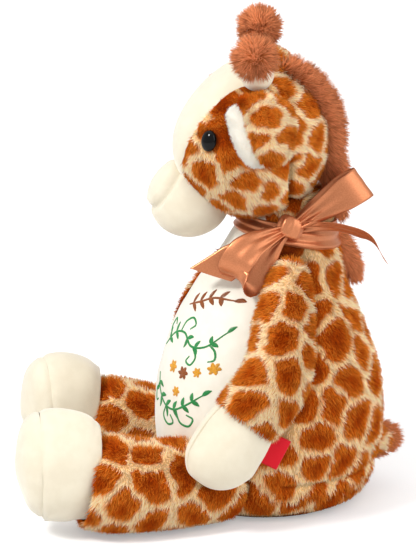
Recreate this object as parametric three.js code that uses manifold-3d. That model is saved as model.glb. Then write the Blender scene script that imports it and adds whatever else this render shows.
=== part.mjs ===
// A sitting plush giraffe with a satin bow: millimetres, +Z up, facing -Y, its left side towards +X.
// The origin is the middle of the flat seat that the toy rests on.
import * as THREE from 'three';
import { mergeVertices } from 'three/addons/utils/BufferGeometryUtils.js';
import Module from 'manifold-3d';

const wasm = await Module();
wasm.setup();

// Shared sizes of the cloth and of the fits
const skinWall = 3;
const neckGap = 0.95;
const seamGap = 0.3;
const softGap = 0.8;
const overrun = 4;
const lap = 12;
const meshTolerance = 0.02;
const halfTurn = Math.PI;
const degree = Math.PI / 180;

// Torso
const torsoHeight = 217;
const torsoHalfWidth = 79;
const torsoHalfDepth = 87;
const torsoSides = 20;
const neckRadius = 35;
const neckBack = 16;
const basePanelHeight = 15;
const bellyTurn = 14 * degree;
const bellyHalfWidth = 57;
const bellyBottom = 24;
const bellyShoulderShare = 0.8;
const bellyTopShare = 0.85;

// Zip in the seat
const zipLength = 76;
const zipBack = 26;
const zipTapeWidth = 16;
const zipTapeThick = 1.2;
const zipTeethWidth = 5;
const zipSlotWidth = 10;
const sliderLength = 10;
const sliderWidth = 7;
const sliderHeight = 1.8;

// Neck and head
const headYaw = -14 * degree;
const headRoll = 12 * degree;
const headTurn = 10 * degree;
const headNod = 6 * degree;
const headHalfWidth = 53;
const headHalfDepth = 56;
const headHalfHeight = 59;
const headForward = 29.5;
const headRise = 69;
const headSides = 16;
const headRings = 10;
const smallSides = 12;
const smallRings = 8;
const neckOpening = 24;
const blazeHalfWidth = 24;
const blazeDrop = 4;
const muzzleHalfWidth = 30;
const muzzleHalfHeight = 29;
const muzzleHalfLength = 32;
const muzzleDrop = 41 * degree;
const muzzleReach = 45;
const muzzleLow = 48;

// Eyes
const eyeHalfWidth = 6;
const eyeHalfHeight = 8;
const eyeProud = 4.5;
const eyeSides = 12;
const shankRadius = 2;
const shankLength = 15;
const washerRadius = 8;
const washerThick = 1.5;
const eyeAcross = 44;
const eyeForward = 31;
const eyeRise = 17;

// Ears
const earHalfLength = 28;
const earHalfWidth = 23;
const earThick = 9;
const liningThick = 5;
const liningForward = 4;
const earStand = 7;
const earTilt = 30 * degree;
const earTurn = 40 * degree;
const earBack = 6;
const earLean = 14 * degree;
const earSwing = 50 * degree;

// Horns with their pompons
const hornAcross = 26;
const hornBack = 4;
const hornRadius = 12.5;
const hornTopRadius = 8;
const hornLength = 20;
const pomponRadius = 17;
const hornLean = 18 * degree;
const hornDip = 1.5;

// Mane
const maneHeight = 16;
const maneThick = 15;
const maneStart = 66 * degree;
const maneEnd = -8 * degree;
const maneStartShare = 0.35;
const lowerManeLength = 38;
const lowerManeDrop = 7;
const lowerManeTop = torsoHeight - lowerManeDrop;
const lowerManeHeight = 11;
const lowerManeArchShares = [ 0.2, 0.9 ];

// Arms
const shoulderAcross = 40;
const shoulderBack = 9;
const shoulderDrop = 21;
const shoulderHeight = torsoHeight - shoulderDrop;
const armHalfWidth = 26;
const armHalfDepth = 18;
const armSides = 12;
const armYaw = -5 * degree;
const leftHand = { across: 95, forward: 54, height: 60 };
const rightHand = { across: 104, forward: 38, height: 80 };
const elbowOut = 89;
const elbowForward = 10;
const elbowHeight = 122;
const pawHalfWidth = 27;
const pawHalfLength = 27;
const pawHalfDepth = 17;
const armLift = 30 * degree;

// Legs
const thighRadius = 35;
const ankleRise = 7;
const legLength = 87;
const legSides = 12;
const footHalfHeight = 43;
const footHalfWidth = 33;
const footDepth = 57;
const footRise = 18;
const soleDepth = 16;
const ankleLean = 9 * degree;
const hipRoom = 1.3;
const legLift = 16 * degree;
const leftHip = { across: 46, forward: 60, yaw: 5 * degree, toe: -12 * degree };
const rightHip = { across: -66, forward: 32, yaw: -13 * degree, toe: 14 * degree };

// Tail
const tailHeight = 34;
const tailLength = 28;
const tailHalfHeight = 13;
const tailHalfThick = 8;
const tuftDepth = 7;
const tailWag = 12 * degree;

// Side label
const labelWidth = 16;
const labelLength = 26;
const labelThick = 0.9;
const labelHeight = 60;
const labelAngle = 78 * degree;
const labelSlant = -28 * degree;

// Satin bow
const ribbonWidth = 25;
const ribbonThick = 1.1;
const bandWidth = 15;
const bandRise = 4;
const bandTop = torsoHeight + bandRise;
const knotHalfWidth = 9;
const knotHalfHeight = 8;
const knotHalfDepth = 6;
const knotSides = 12;
const knotSeatShare = 0.6;
const knotForward = 10;
const loopPinchShare = 0.45;
const backTailWidthShares = [ 0.4, 0.75 ];
const frontTailWidthShares = [ 0.4, 1 ];

function solidOf( geometry ) {

	const bare = geometry.index ? geometry.toNonIndexed() : geometry.clone();
	bare.deleteAttribute( 'normal' );
	bare.deleteAttribute( 'uv' );
	const merged = mergeVertices( bare );
	const wound = outward( merged );
	return new wasm.Manifold( new wasm.Mesh( {
		numProp: 3,
		vertProperties: new Float32Array( wound.attributes.position.array ),
		triVerts: new Uint32Array( wound.index.array )
	} ) );

}

// A mirrored spine turns its loft inside out, so the winding follows the sign of the volume.
function outward( geometry ) {

	const place = geometry.attributes.position;
	const order = Array.from( geometry.index.array );
	const corner = [ new THREE.Vector3(), new THREE.Vector3(), new THREE.Vector3() ];
	let volume = 0;
	for ( let i = 0; i < order.length; i += 3 ) {

		corner.forEach( ( point, k ) => point.fromBufferAttribute( place, order[ i + k ] ) );
		volume += corner[ 0 ].dot( corner[ 1 ].clone().cross( corner[ 2 ] ) );

	}

	if ( volume < 0 ) {

		for ( let i = 0; i < order.length; i += 3 ) {

			[ order[ i + 1 ], order[ i + 2 ] ] = [ order[ i + 2 ], order[ i + 1 ] ];

		}

	}

	geometry.setIndex( order );
	return geometry;

}

function geometryOf( solid ) {

	const mesh = solid.getMesh();
	const geometry = new THREE.BufferGeometry();
	const corners = new Float32Array( mesh.vertProperties );
	geometry.setAttribute( 'position', new THREE.BufferAttribute( corners, 3 ) );
	geometry.setIndex( Array.from( mesh.triVerts ) );
	return geometry;

}

// A stuffed form is a run of oval rings along a spine. Each row gives its place along the spine and
// its half width and half depth, as shares; a row of no width closes the form to a point.
function stuffedForm( { spine, rows, halfWidth, halfDepth, sides, toward, grow = 0 } ) {

	const positions = [];
	const index = [];
	let previous = null;
	rows.forEach( ( [ share, widthShare, depthShare ], row ) => {

		const tangent = spine.getTangentAt( share );
		const side = new THREE.Vector3().crossVectors( toward, tangent ).normalize();
		const deep = new THREE.Vector3().crossVectors( tangent, side ).normalize();
		const end = row === 0 ? - 1 : row === rows.length - 1 ? 1 : 0;
		const centre = spine.getPointAt( share ).addScaledVector( tangent, end * grow );
		const first = positions.length / 3;
		if ( widthShare === 0 ) {

			positions.push( ...centre.toArray() );
			if ( previous ) fan( index, previous.first, sides, first, false );
			else previous = { first, pole: true };
			if ( row > 0 ) previous = { first, pole: true };
			return;

		}

		for ( let k = 0; k < sides; k ++ ) {

			const angle = 2 * halfTurn * k / sides;
			const point = centre.clone();
			point.addScaledVector( side, ( halfWidth * widthShare + grow ) * Math.cos( angle ) );
			point.addScaledVector( deep, ( halfDepth * depthShare + grow ) * Math.sin( angle ) );
			positions.push( ...point.toArray() );

		}

		if ( previous === null || end === 1 ) positions.push( ...centre.toArray() );
		if ( previous === null ) fan( index, first, sides, first + sides, true );
		else if ( previous.pole ) fan( index, first, sides, previous.first, true );
		else band( index, previous.first, first, sides );
		if ( end === 1 ) fan( index, first, sides, first + sides, false );
		previous = { first, pole: false };

	} );
	const geometry = new THREE.BufferGeometry();
	geometry.setAttribute( 'position', new THREE.Float32BufferAttribute( positions, 3 ) );
	geometry.setIndex( index );
	return geometry;

}

function fan( index, ring, sides, pole, atStart ) {

	for ( let k = 0; k < sides; k ++ ) {

		const next = ring + ( k + 1 ) % sides;
		if ( atStart ) index.push( pole, next, ring + k );
		else index.push( pole, ring + k, next );

	}

}

function band( index, low, high, sides ) {

	for ( let k = 0; k < sides; k ++ ) {

		const next = ( k + 1 ) % sides;
		index.push( low + k, low + next, high + next );
		index.push( low + k, high + next, high + k );

	}

}

function ball( halfWidth, halfDepth, halfHeight, sides, rings ) {

	const geometry = new THREE.SphereGeometry( 1, sides, rings );
	geometry.rotateX( halfTurn / 2 );
	geometry.scale( halfWidth, halfDepth, halfHeight );
	return geometry;

}

function block( low, high ) {

	const size = high.clone().sub( low );
	const geometry = new THREE.BoxGeometry( size.x, size.y, size.z );
	geometry.translate( ...low.clone().add( high ).divideScalar( 2 ).toArray() );
	return geometry;

}

function fabric( colour, roughness ) {

	return new THREE.MeshStandardMaterial( { color: colour, roughness, metalness: 0 } );

}

const patternedFur = fabric( 0xc98a4a, 0.95 );
const creamVelour = fabric( 0xfaf1dc, 0.9 );
const whitePlush = fabric( 0xfbf6ee, 0.95 );
const gingerFur = fabric( 0xb86a42, 0.95 );
const copperSatin = fabric( 0xb87350, 0.35 );
const blackGloss = fabric( 0x0b0a0a, 0.08 );
const washerPlastic = fabric( 0xe8e8e4, 0.5 );
const fibreFill = fabric( 0xf4f2ec, 1 );
const redLabel = fabric( 0xc41230, 0.7 );
const zipTape = fabric( 0xe7d9bd, 0.85 );
const zipMetal = new THREE.MeshStandardMaterial( { color: 0xb9b2a4, roughness: 0.4, metalness: 0.8 } );

const giraffe = new THREE.Group();

// Every solid is cut in the toy's own frame, and then handed to the group that carries it.
function addPiece( group, name, solid, material ) {

	group.updateWorldMatrix( true, false );
	const geometry = geometryOf( solid.simplify( meshTolerance ) );
	geometry.applyMatrix4( group.matrixWorld.clone().invert() );
	const mesh = new THREE.Mesh( geometry, material );
	mesh.name = name;
	group.add( mesh );
	return mesh;

}

function groupAt( parent, x, y, z ) {

	const group = new THREE.Group();
	group.position.set( x, y, z );
	parent.add( group );
	group.updateWorldMatrix( true, false );
	return group;

}

function inWorld( geometry, group ) {

	return geometry.applyMatrix4( group.matrixWorld );

}

function united( solids ) {

	return solids.reduce( ( sum, solid ) => sum.add( solid ) );

}

// The solid turned about a pivot of the group, round the group's own X, Y or Z.
function turned( solid, group, pivot, axis, angle ) {

	const geometry = geometryOf( solid );
	geometry.applyMatrix4( group.matrixWorld.clone().invert() );
	geometry.translate( - pivot.x, - pivot.y, - pivot.z );
	geometry[ `rotate${ axis }` ]( angle );
	geometry.translate( pivot.x, pivot.y, pivot.z );
	return solidOf( inWorld( geometry, group ) );

}

// What a swinging piece sweeps is taken at these shares of its travel, and of a short one.
const swingShares = [ 0, 0.25, 0.5, 0.75, 1 ];
const shortSwingShares = [ 0, 0.5, 1 ];

// Torso: a pear-shaped bag on a flat seat, drawn in to the neck
const up = new THREE.Vector3( 0, 0, 1 );
const back = new THREE.Vector3( 0, 1, 0 );
const torsoSpine = new THREE.CatmullRomCurve3( [
	[ 0, 0 ],
	[ 0, 0.33 ],
	[ 0.1, 0.6 ],
	[ 0.45, 0.8 ],
	[ 1, 1 ]
].map( ( place ) => new THREE.Vector3( 0, place[ 0 ] * neckBack, place[ 1 ] * torsoHeight ) ) );
const torsoRowShares = [
	[ 0, 0.7, 0.7 ],
	[ 0.03, 0.82, 0.82 ],
	[ 0.09, 0.91, 0.91 ],
	[ 0.2, 0.98, 0.975 ],
	[ 0.32, 1, 1 ],
	[ 0.44, 0.975, 0.975 ],
	[ 0.55, 0.905, 0.905 ],
	[ 0.69, 0.78, 0.765 ],
	[ 0.83, 0.6, 0.575 ],
	[ 0.93, 0.5, 0.47 ]
];
const torsoRows = [
	...torsoRowShares,
	[ 1, neckRadius / torsoHalfWidth, neckRadius / torsoHalfDepth ]
];

function torsoForm( grow ) {

	const bag = solidOf( stuffedForm( {
		spine: torsoSpine,
		rows: torsoRows,
		halfWidth: torsoHalfWidth,
		halfDepth: torsoHalfDepth,
		sides: torsoSides,
		toward: back,
		grow
	} ) );
	const neckTop = ball( neckRadius + grow, neckRadius + grow, neckRadius + grow, torsoSides, headRings );
	neckTop.translate( 0, neckBack, torsoHeight );
	return bag.add( solidOf( neckTop ) );

}

const torsoGroup = groupAt( giraffe, 0, 0, 0 );
const outerTorso = torsoForm( 0 );
const innerTorso = torsoForm( - skinWall );

// Legs: a thigh, an ankle, a bootie foot with its own sole
const legRowShares = [
	[ 0, 0, 0 ],
	[ 0.06, 0.62, 0.62 ],
	[ 0.16, 0.92, 0.92 ],
	[ 0.28, 1, 1 ],
	[ 0.6, 1, 1 ],
	[ 1, 1.05, 1.05 ]
];
const footRowShares = [
	[ 0, 0.76, 0.74 ],
	[ 0.18, 0.82, 0.8 ],
	[ 0.3, 0.94, 0.93 ],
	[ 0.49, 1, 1 ],
	[ 0.7, 0.96, 0.95 ],
	[ 0.85, 0.79, 0.78 ],
	[ 0.93, 0.52, 0.5 ],
	[ 1, 0, 0 ]
];

function legForms( side, grow ) {

	const ankle = new THREE.Vector3( 0, - legLength, thighRadius + ankleRise );
	const legSpine = new THREE.CatmullRomCurve3( [
		new THREE.Vector3( 0, thighRadius, thighRadius ),
		new THREE.Vector3( 0, 0, thighRadius ),
		new THREE.Vector3( side * ankleRise / 2, - legLength / 2, thighRadius ),
		ankle.clone().add( new THREE.Vector3( 0, - lap, 0 ) )
	] );
	const leg = stuffedForm( {
		spine: legSpine,
		rows: legRowShares,
		halfWidth: thighRadius,
		halfDepth: thighRadius,
		sides: legSides,
		toward: up,
		grow
	} );
	return { leg, ankle };

}

function footForm( side, toe, ankle, grow ) {

	const heel = new THREE.Vector3( 0, lap, 0 );
	const tip = new THREE.Vector3( 0, - footDepth, 0 );
	const footSpine = new THREE.LineCurve3( heel, tip );
	const foot = stuffedForm( {
		spine: footSpine,
		rows: footRowShares,
		halfWidth: footHalfWidth,
		halfDepth: footHalfHeight,
		sides: legSides,
		toward: up,
		grow
	} );
	foot.rotateZ( toe );
	foot.translate( ankle.x, ankle.y, footRise + thighRadius );
	return foot;

}

function anklePlane( ankle, toe, ahead ) {

	const reach = footDepth + legLength;
	const low = new THREE.Vector3( - reach, ahead ? - reach : seamGap, - reach );
	const high = new THREE.Vector3( reach, ahead ? 0 : reach, reach );
	const cutter = block( low, high );
	cutter.rotateX( - ankleLean );
	cutter.rotateZ( toe / 2 );
	cutter.translate( ankle.x, ankle.y, ankle.z );
	return cutter;

}

function solePlane( ankle, toe, ahead ) {

	const reach = footDepth + legLength;
	const line = - ( footDepth - soleDepth );
	const low = new THREE.Vector3( - reach, ahead ? - reach : line + seamGap, - reach );
	const high = new THREE.Vector3( reach, ahead ? line : reach, reach );
	const cutter = block( low, high );
	cutter.rotateZ( toe );
	cutter.translate( ankle.x, ankle.y, ankle.z );
	return cutter;

}

function legParts( hip, side ) {

	const group = groupAt( giraffe, hip.across, - hip.forward, 0 );
	group.rotation.z = hip.yaw;
	group.updateWorldMatrix( true, false );
	const world = ( geometry ) => solidOf( inWorld( geometry, group ) );
	const { ankle } = legForms( side, 0 );
	const leg = ( grow ) => world( legForms( side, grow ).leg );
	const foot = ( grow ) => world( footForm( side, hip.toe, ankle, grow ) );
	const behind = world( anklePlane( ankle, hip.toe, false ) );
	const ahead = world( anklePlane( ankle, hip.toe, true ) );
	const heelSide = world( solePlane( ankle, hip.toe, false ) );
	const soleSide = world( solePlane( ankle, hip.toe, true ) );
	const footShell = foot( 0 ).subtract( foot( - skinWall ) );
	const inner = - skinWall - seamGap;
	const floor = solidOf( block(
		new THREE.Vector3( - torsoHeight, - torsoHeight * 2, - torsoHeight ),
		new THREE.Vector3( torsoHeight, torsoHeight, 0 )
	) );
	return {
		group,
		whole: leg,
		skin: leg( 0 ).subtract( leg( - skinWall ) ).intersect( behind ).subtract( floor ),
		foot: footShell.intersect( ahead ).intersect( heelSide ),
		sole: footShell.intersect( soleSide ),
		filling: leg( inner ).intersect( behind ).add( foot( inner ).intersect( ahead ) )
			.add( leg( inner ).intersect( foot( inner ) ) ).subtract( floor ),
		pivot: new THREE.Vector3( 0, 0, thighRadius )
	};

}

const leftLeg = legParts( leftHip, 1 );
const rightLeg = legParts( rightHip, - 1 );

// The seat is hollowed where a leg turns, from rest to its highest place.
function hipPocket( leg, grow ) {

	const form = leg.whole( grow );
	return united( shortSwingShares.map(
		( share ) => turned( form, leg.group, leg.pivot, 'X', - legLift * share )
	) );

}

const pockets = hipPocket( leftLeg, hipRoom ).add( hipPocket( rightLeg, hipRoom ) );

// The zip lies in a slot of the seat, with its tape against the inside of the cloth.
const zipReach = zipLength / 2;
const slot = solidOf( block(
	new THREE.Vector3( - zipReach, zipBack - zipSlotWidth / 2, - overrun ),
	new THREE.Vector3( zipReach, zipBack + zipSlotWidth / 2, skinWall + overrun )
) );
const tapeRoom = solidOf( block(
	new THREE.Vector3( - zipReach - overrun - seamGap, zipBack - zipTapeWidth / 2 - seamGap, skinWall ),
	new THREE.Vector3(
		zipReach + overrun + seamGap,
		zipBack + zipTapeWidth / 2 + seamGap,
		skinWall + zipTapeThick + 2 * seamGap
	)
) );

function addTorso() {

	const shell = outerTorso.subtract( innerTorso ).subtract( pockets );
	const reach = 2 * torsoHeight;
	const low = solidOf( block(
		new THREE.Vector3( - reach, - reach, - overrun ),
		new THREE.Vector3( reach, reach, basePanelHeight )
	) );
	const high = solidOf( block(
		new THREE.Vector3( - reach, - reach, basePanelHeight + seamGap ),
		new THREE.Vector3( reach, reach, reach )
	) );
	const bellyCut = ( room ) => {

		const outline = new THREE.Shape();
		const half = bellyHalfWidth + room;
		const low = bellyBottom - room;
		const middle = torsoHeight / 2;
		const shoulder = torsoHeight * bellyShoulderShare;
		const collar = torsoHeight * bellyTopShare;
		const top = torsoHeight + neckRadius;
		outline.moveTo( - half / 2, low );
		outline.bezierCurveTo( - half, low, - half, bellyBottom + half, - half, middle );
		outline.bezierCurveTo( - half, shoulder, - half / 2, collar, - half / 2, top );
		outline.lineTo( half / 2, top );
		outline.bezierCurveTo( half / 2, collar, half, shoulder, half, middle );
		outline.bezierCurveTo( half, bellyBottom + half, half, low, half / 2, low );
		const cutter = new THREE.ExtrudeGeometry( outline, {
			depth: torsoHalfDepth * 2,
			bevelEnabled: false,
			curveSegments: 6
		} );
		cutter.rotateX( halfTurn / 2 );
		cutter.rotateZ( bellyTurn );
		return solidOf( cutter );

	};

	const neckCut = solidOf( block(
		new THREE.Vector3( - reach, - reach, torsoHeight ),
		new THREE.Vector3( reach, reach, reach )
	) );
	const upperShell = shell.intersect( high );
	const furPart = upperShell.subtract( bellyCut( seamGap ).subtract( neckCut ) );
	const bellyPart = upperShell.intersect( bellyCut( 0 ) ).subtract( neckCut );
	addPiece( torsoGroup, 'torso_skin', furPart, patternedFur );
	addPiece( torsoGroup, 'belly_panel', bellyPart, creamVelour );
	addPiece( torsoGroup, 'seat_panel', shell.intersect( low ).subtract( slot ), patternedFur );
	const inside = torsoForm( - skinWall - seamGap );
	const body = inside.subtract( hipPocket( leftLeg, hipRoom + seamGap ) )
		.subtract( hipPocket( rightLeg, hipRoom + seamGap ) )
		.subtract( tapeRoom )
		.subtract( neckCut );
	addPiece( torsoGroup, 'torso_filling', body, fibreFill );

}

function addZip() {

	const tape = block(
		new THREE.Vector3( - zipReach - overrun, zipBack - zipTapeWidth / 2, skinWall + seamGap ),
		new THREE.Vector3( zipReach + overrun, zipBack + zipTapeWidth / 2, skinWall + seamGap + zipTapeThick )
	);
	addPiece( torsoGroup, 'zip_tape', solidOf( tape ), zipTape );
	const sliderTop = skinWall;
	const end = - zipReach + softGap;
	const group = groupAt( giraffe, end, zipBack, 0 );
	const slider = block(
		new THREE.Vector3( end, zipBack - sliderWidth / 2, sliderTop - sliderHeight ),
		new THREE.Vector3( end + sliderLength, zipBack + sliderWidth / 2, sliderTop )
	);
	const inset = sliderLength / 4;
	const bridgeHalf = zipTeethWidth / 4;
	const bridge = block(
		new THREE.Vector3( end + inset, zipBack - bridgeHalf, sliderTop - sliderHeight - softGap ),
		new THREE.Vector3( end + sliderLength - inset, zipBack + bridgeHalf, sliderTop - sliderHeight / 2 )
	);
	addPiece( group, 'zip_slider', solidOf( slider ).add( solidOf( bridge ) ), zipMetal );

}

function addLeg( name, leg ) {

	addPiece( leg.group, `leg_skin_${ name }`, leg.skin, patternedFur );
	addPiece( leg.group, `foot_${ name }`, leg.foot, creamVelour );
	addPiece( leg.group, `sole_${ name }`, leg.sole, creamVelour );
	addPiece( leg.group, `leg_filling_${ name }`, leg.filling, fibreFill );

}

// Arms: a sleeve hung from the shoulder over the belly's side, ending in a velour paw
const armRowShares = [
	[ 0, 0, 0 ],
	[ 0.03, 0.36, 0.42 ],
	[ 0.1, 0.56, 0.64 ],
	[ 0.3, 0.8, 0.9 ],
	[ 0.5, 0.92, 1 ],
	[ 0.8, 1, 1 ],
	[ 1, 0.96, 0.98 ]
];
const upperArmShares = [ 0.25, 0.5 ];
const pawRowShares = [
	[ 0, 0.8, 0.9 ],
	[ 0.25, 0.94, 1 ],
	[ 0.5, 1, 1 ],
	[ 0.75, 0.9, 0.88 ],
	[ 0.92, 0.56, 0.55 ],
	[ 1, 0, 0 ]
];

function addArm( name, side, wrist ) {

	const place = ( across, forward, height ) => new THREE.Vector3( side * across, - forward, height );
	const group = groupAt( giraffe, 0, 0, 0 );
	group.rotation.z = armYaw;
	group.updateWorldMatrix( true, false );
	const shoulder = place( shoulderAcross, - shoulderBack, shoulderHeight );
	const elbow = place( elbowOut, elbowForward, elbowHeight );
	const hand = place( wrist.across, wrist.forward, wrist.height );
	const cuff = elbow.clone().lerp( hand, 0.5 );
	const bulge = place( armHalfDepth / 3, 0, 0 );
	const armSpine = new THREE.CatmullRomCurve3( [
		shoulder,
		...upperArmShares.map( ( share ) => shoulder.clone().lerp( elbow, share ).add( bulge ) ),
		elbow,
		cuff.clone().add( hand.clone().sub( elbow ).setLength( lap ) )
	] );
	const flank = new THREE.Vector3( side, 0, 0 );
	const sleeve = ( grow ) => solidOf( inWorld( stuffedForm( {
		spine: armSpine,
		rows: armRowShares,
		halfWidth: armHalfWidth,
		halfDepth: armHalfDepth,
		sides: armSides,
		toward: flank,
		grow
	} ), group ) );
	const direction = armSpine.getTangentAt( 1 );
	const start = cuff.clone().addScaledVector( direction, - lap );
	const tip = hand.clone().addScaledVector( direction, pawHalfLength );
	const paw = ( grow ) => solidOf( inWorld( stuffedForm( {
		spine: new THREE.LineCurve3( start, tip ),
		rows: pawRowShares,
		halfWidth: pawHalfWidth,
		halfDepth: pawHalfDepth,
		sides: armSides,
		toward: flank,
		grow
	} ), group ) );
	const cuffSide = ( ahead ) => {

		const reach = torsoHeight;
		const low = new THREE.Vector3( - reach, - reach, ahead ? 0 : - reach );
		const high = new THREE.Vector3( reach, reach, ahead ? reach : - seamGap );
		const cutter = block( low, high );
		cutter.applyQuaternion( new THREE.Quaternion().setFromUnitVectors( up, direction ) );
		cutter.translate( cuff.x, cuff.y, cuff.z );
		return solidOf( inWorld( cutter, group ) );

	};

	const upper = cuffSide( false );
	const lower = cuffSide( true );
	const hinge = place( shoulderAcross + armHalfDepth / 2, - shoulderBack, shoulderHeight );
	const swung = ( solid, way ) => united( swingShares.map(
		( share ) => turned( solid, group, hinge, 'Y', - side * way * armLift * share )
	) );
	const room = swung( torsoForm( softGap ), - 1 );
	const inner = - skinWall - seamGap;
	const legRoom = hipPocket( side > 0 ? leftLeg : rightLeg, softGap );
	addPiece( group, `arm_skin_${ name }`, sleeve( 0 ).subtract( sleeve( - skinWall ) )
		.intersect( upper ).subtract( room ), patternedFur );
	addPiece( group, `paw_${ name }`, paw( 0 ).subtract( paw( - skinWall ) )
		.intersect( lower ).subtract( room ).subtract( legRoom ), creamVelour );
	addPiece( group, `arm_filling_${ name }`, sleeve( inner ).intersect( upper )
		.add( paw( inner ).intersect( lower ) ).add( sleeve( inner ).intersect( paw( inner ) ) )
		.subtract( room ).subtract( legRoom ), fibreFill );
	return swung( sleeve( softGap ), 1 );

}

// Head: a round head on the neck, with a long blaze and a drooping muzzle
const headGroup = groupAt( giraffe, 0, neckBack, torsoHeight );
headGroup.rotation.set( 0, headRoll, headYaw, 'ZYX' );
headGroup.updateWorldMatrix( true, false );
const headCentre = new THREE.Vector3( 0, - headForward, headRise );

function headForm( grow ) {

	const sizes = [ headHalfWidth, headHalfDepth, headHalfHeight ].map( ( size ) => size + grow );
	const form = ball( ...sizes, headSides, headRings );
	form.translate( ...headCentre.toArray() );
	return solidOf( inWorld( form, headGroup ) );

}

function neckRoom( grow ) {

	const size = neckRadius + neckGap + grow;
	const form = ball( size, size, size, torsoSides, headRings );
	form.translate( 0, neckBack, torsoHeight );
	return solidOf( form );

}

function muzzleForm( grow ) {

	const form = ball(
		muzzleHalfWidth + grow,
		muzzleHalfLength + grow,
		muzzleHalfHeight + grow,
		headSides,
		headRings
	);
	form.rotateX( muzzleDrop );
	form.translate( 0, headCentre.y - muzzleReach, headCentre.z - muzzleLow );
	return solidOf( inWorld( form, headGroup ) );

}

// The head's skin is open underneath, where it is sewn round the neck.
function headCollar() {

	const form = new THREE.CylinderGeometry( neckOpening, neckOpening, 2 * neckRadius, torsoSides );
	form.rotateX( halfTurn / 2 );
	form.translate( 0, 0, neckRadius );
	return solidOf( inWorld( form, headGroup ) );

}

function addHead() {

	const inside = headForm( - skinWall ).subtract( neckRoom( skinWall ) );
	const collar = headCollar();
	const eyes = [ - 1, 1 ].map( eyeParts );
	const holes = eyes[ 0 ].room.add( eyes[ 1 ].room );
	const dimples = [ - 1, 1 ].map( ( side ) => hornBall( side, softGap ) );
	const shell = headForm( 0 ).subtract( neckRoom( 0 ) ).subtract( inside ).subtract( collar )
		.subtract( holes ).subtract( dimples[ 0 ] ).subtract( dimples[ 1 ] );
	const blaze = ( room ) => {

		const half = blazeHalfWidth + room;
		const reach = 2 * headHalfHeight;
		const low = new THREE.Vector3( - half, headCentre.y - reach, headCentre.z - blazeDrop - room );
		const high = new THREE.Vector3( half, headCentre.y - blazeDrop + room, headCentre.z + reach );
		return solidOf( inWorld( block( low, high ), headGroup ) );

	};

	addPiece( headGroup, 'head_skin', shell.subtract( blaze( seamGap ) ), patternedFur );
	addPiece( headGroup, 'face_blaze', shell.intersect( blaze( 0 ) ), creamVelour );
	addPiece( headGroup, 'muzzle', muzzleForm( 0 ).subtract( headForm( seamGap ) ), creamVelour );
	const filling = headForm( - skinWall - seamGap ).subtract( neckRoom( skinWall + seamGap ) )
		.subtract( holes );
	addPiece( headGroup, 'head_filling', filling, fibreFill );

}

// Eyes: a glossy dome on a shank, held from inside by a lock washer
function eyeParts( side ) {

	const spot = new THREE.Vector3( side * eyeAcross, - eyeForward, eyeRise );
	const onSkin = spot.clone().divide( new THREE.Vector3( headHalfWidth, headHalfDepth, headHalfHeight ) );
	spot.divideScalar( onSkin.length() );
	const facing = spot.clone().normalize();
	const frame = new THREE.Matrix4().lookAt( facing, new THREE.Vector3(), up );
	const seat = spot.clone().add( headCentre );
	const placed = ( geometry, depth ) => {

		geometry.applyMatrix4( frame );
		geometry.translate( ...seat.clone().addScaledVector( facing, depth ).toArray() );
		return solidOf( inWorld( geometry, headGroup ) );

	};

	const profile = [ new THREE.Vector2( 0, 0 ) ];
	for ( let k = 0; k < eyeSides / 2; k ++ ) {

		const angle = halfTurn * k / eyeSides;
		profile.push( new THREE.Vector2( Math.cos( angle ), Math.sin( angle ) ) );

	}

	profile.push( new THREE.Vector2( 0, 1 ) );
	const dome = new THREE.LatheGeometry( profile, eyeSides );
	dome.rotateX( halfTurn / 2 );
	dome.scale( eyeHalfWidth, eyeHalfHeight, eyeProud );
	const shank = ( grow ) => {

		const radius = shankRadius + grow;
		const rod = new THREE.CylinderGeometry( radius, radius, shankLength + grow, eyeSides );
		rod.rotateX( halfTurn / 2 );
		rod.translate( 0, 0, - ( shankLength - grow ) / 2 );
		return rod;

	};

	const washer = ( grow ) => {

		const plate = new THREE.CylinderGeometry(
			washerRadius + grow,
			washerRadius + grow,
			washerThick + 2 * grow,
			eyeSides
		);
		plate.rotateX( halfTurn / 2 );
		plate.translate( 0, 0, - skinWall - 2 * softGap - washerThick / 2 );
		return plate;

	};

	const lift = 2 * softGap;
	return {
		eye: placed( dome, lift ).add( placed( shank( 0 ), lift + seamGap ) ),
		washer: placed( washer( 0 ), lift ).subtract( placed( shank( seamGap ), lift + seamGap ) ),
		room: placed( washer( seamGap ), lift ).add( placed( shank( seamGap ), lift + seamGap ) )
	};

}

function addEye( name, side ) {

	const parts = eyeParts( side );
	addPiece( headGroup, `eye_${ name }`, parts.eye, blackGloss );
	addPiece( headGroup, `eye_washer_${ name }`, parts.washer, washerPlastic );

}

// Ears: a patterned outside and a fluffy lining, sewn in at the top and folded down
// The ear turns about a line along its top edge, and clears the head all the way.
function earRoom( group, side ) {

	const top = new THREE.Vector3( 0, 0, earHalfLength * Math.cos( earTurn ) );
	const head = headForm( seamGap );
	return united( swingShares.map( ( share ) => turned( head, group, top, 'Y', side * earSwing * share ) ) );

}

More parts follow.
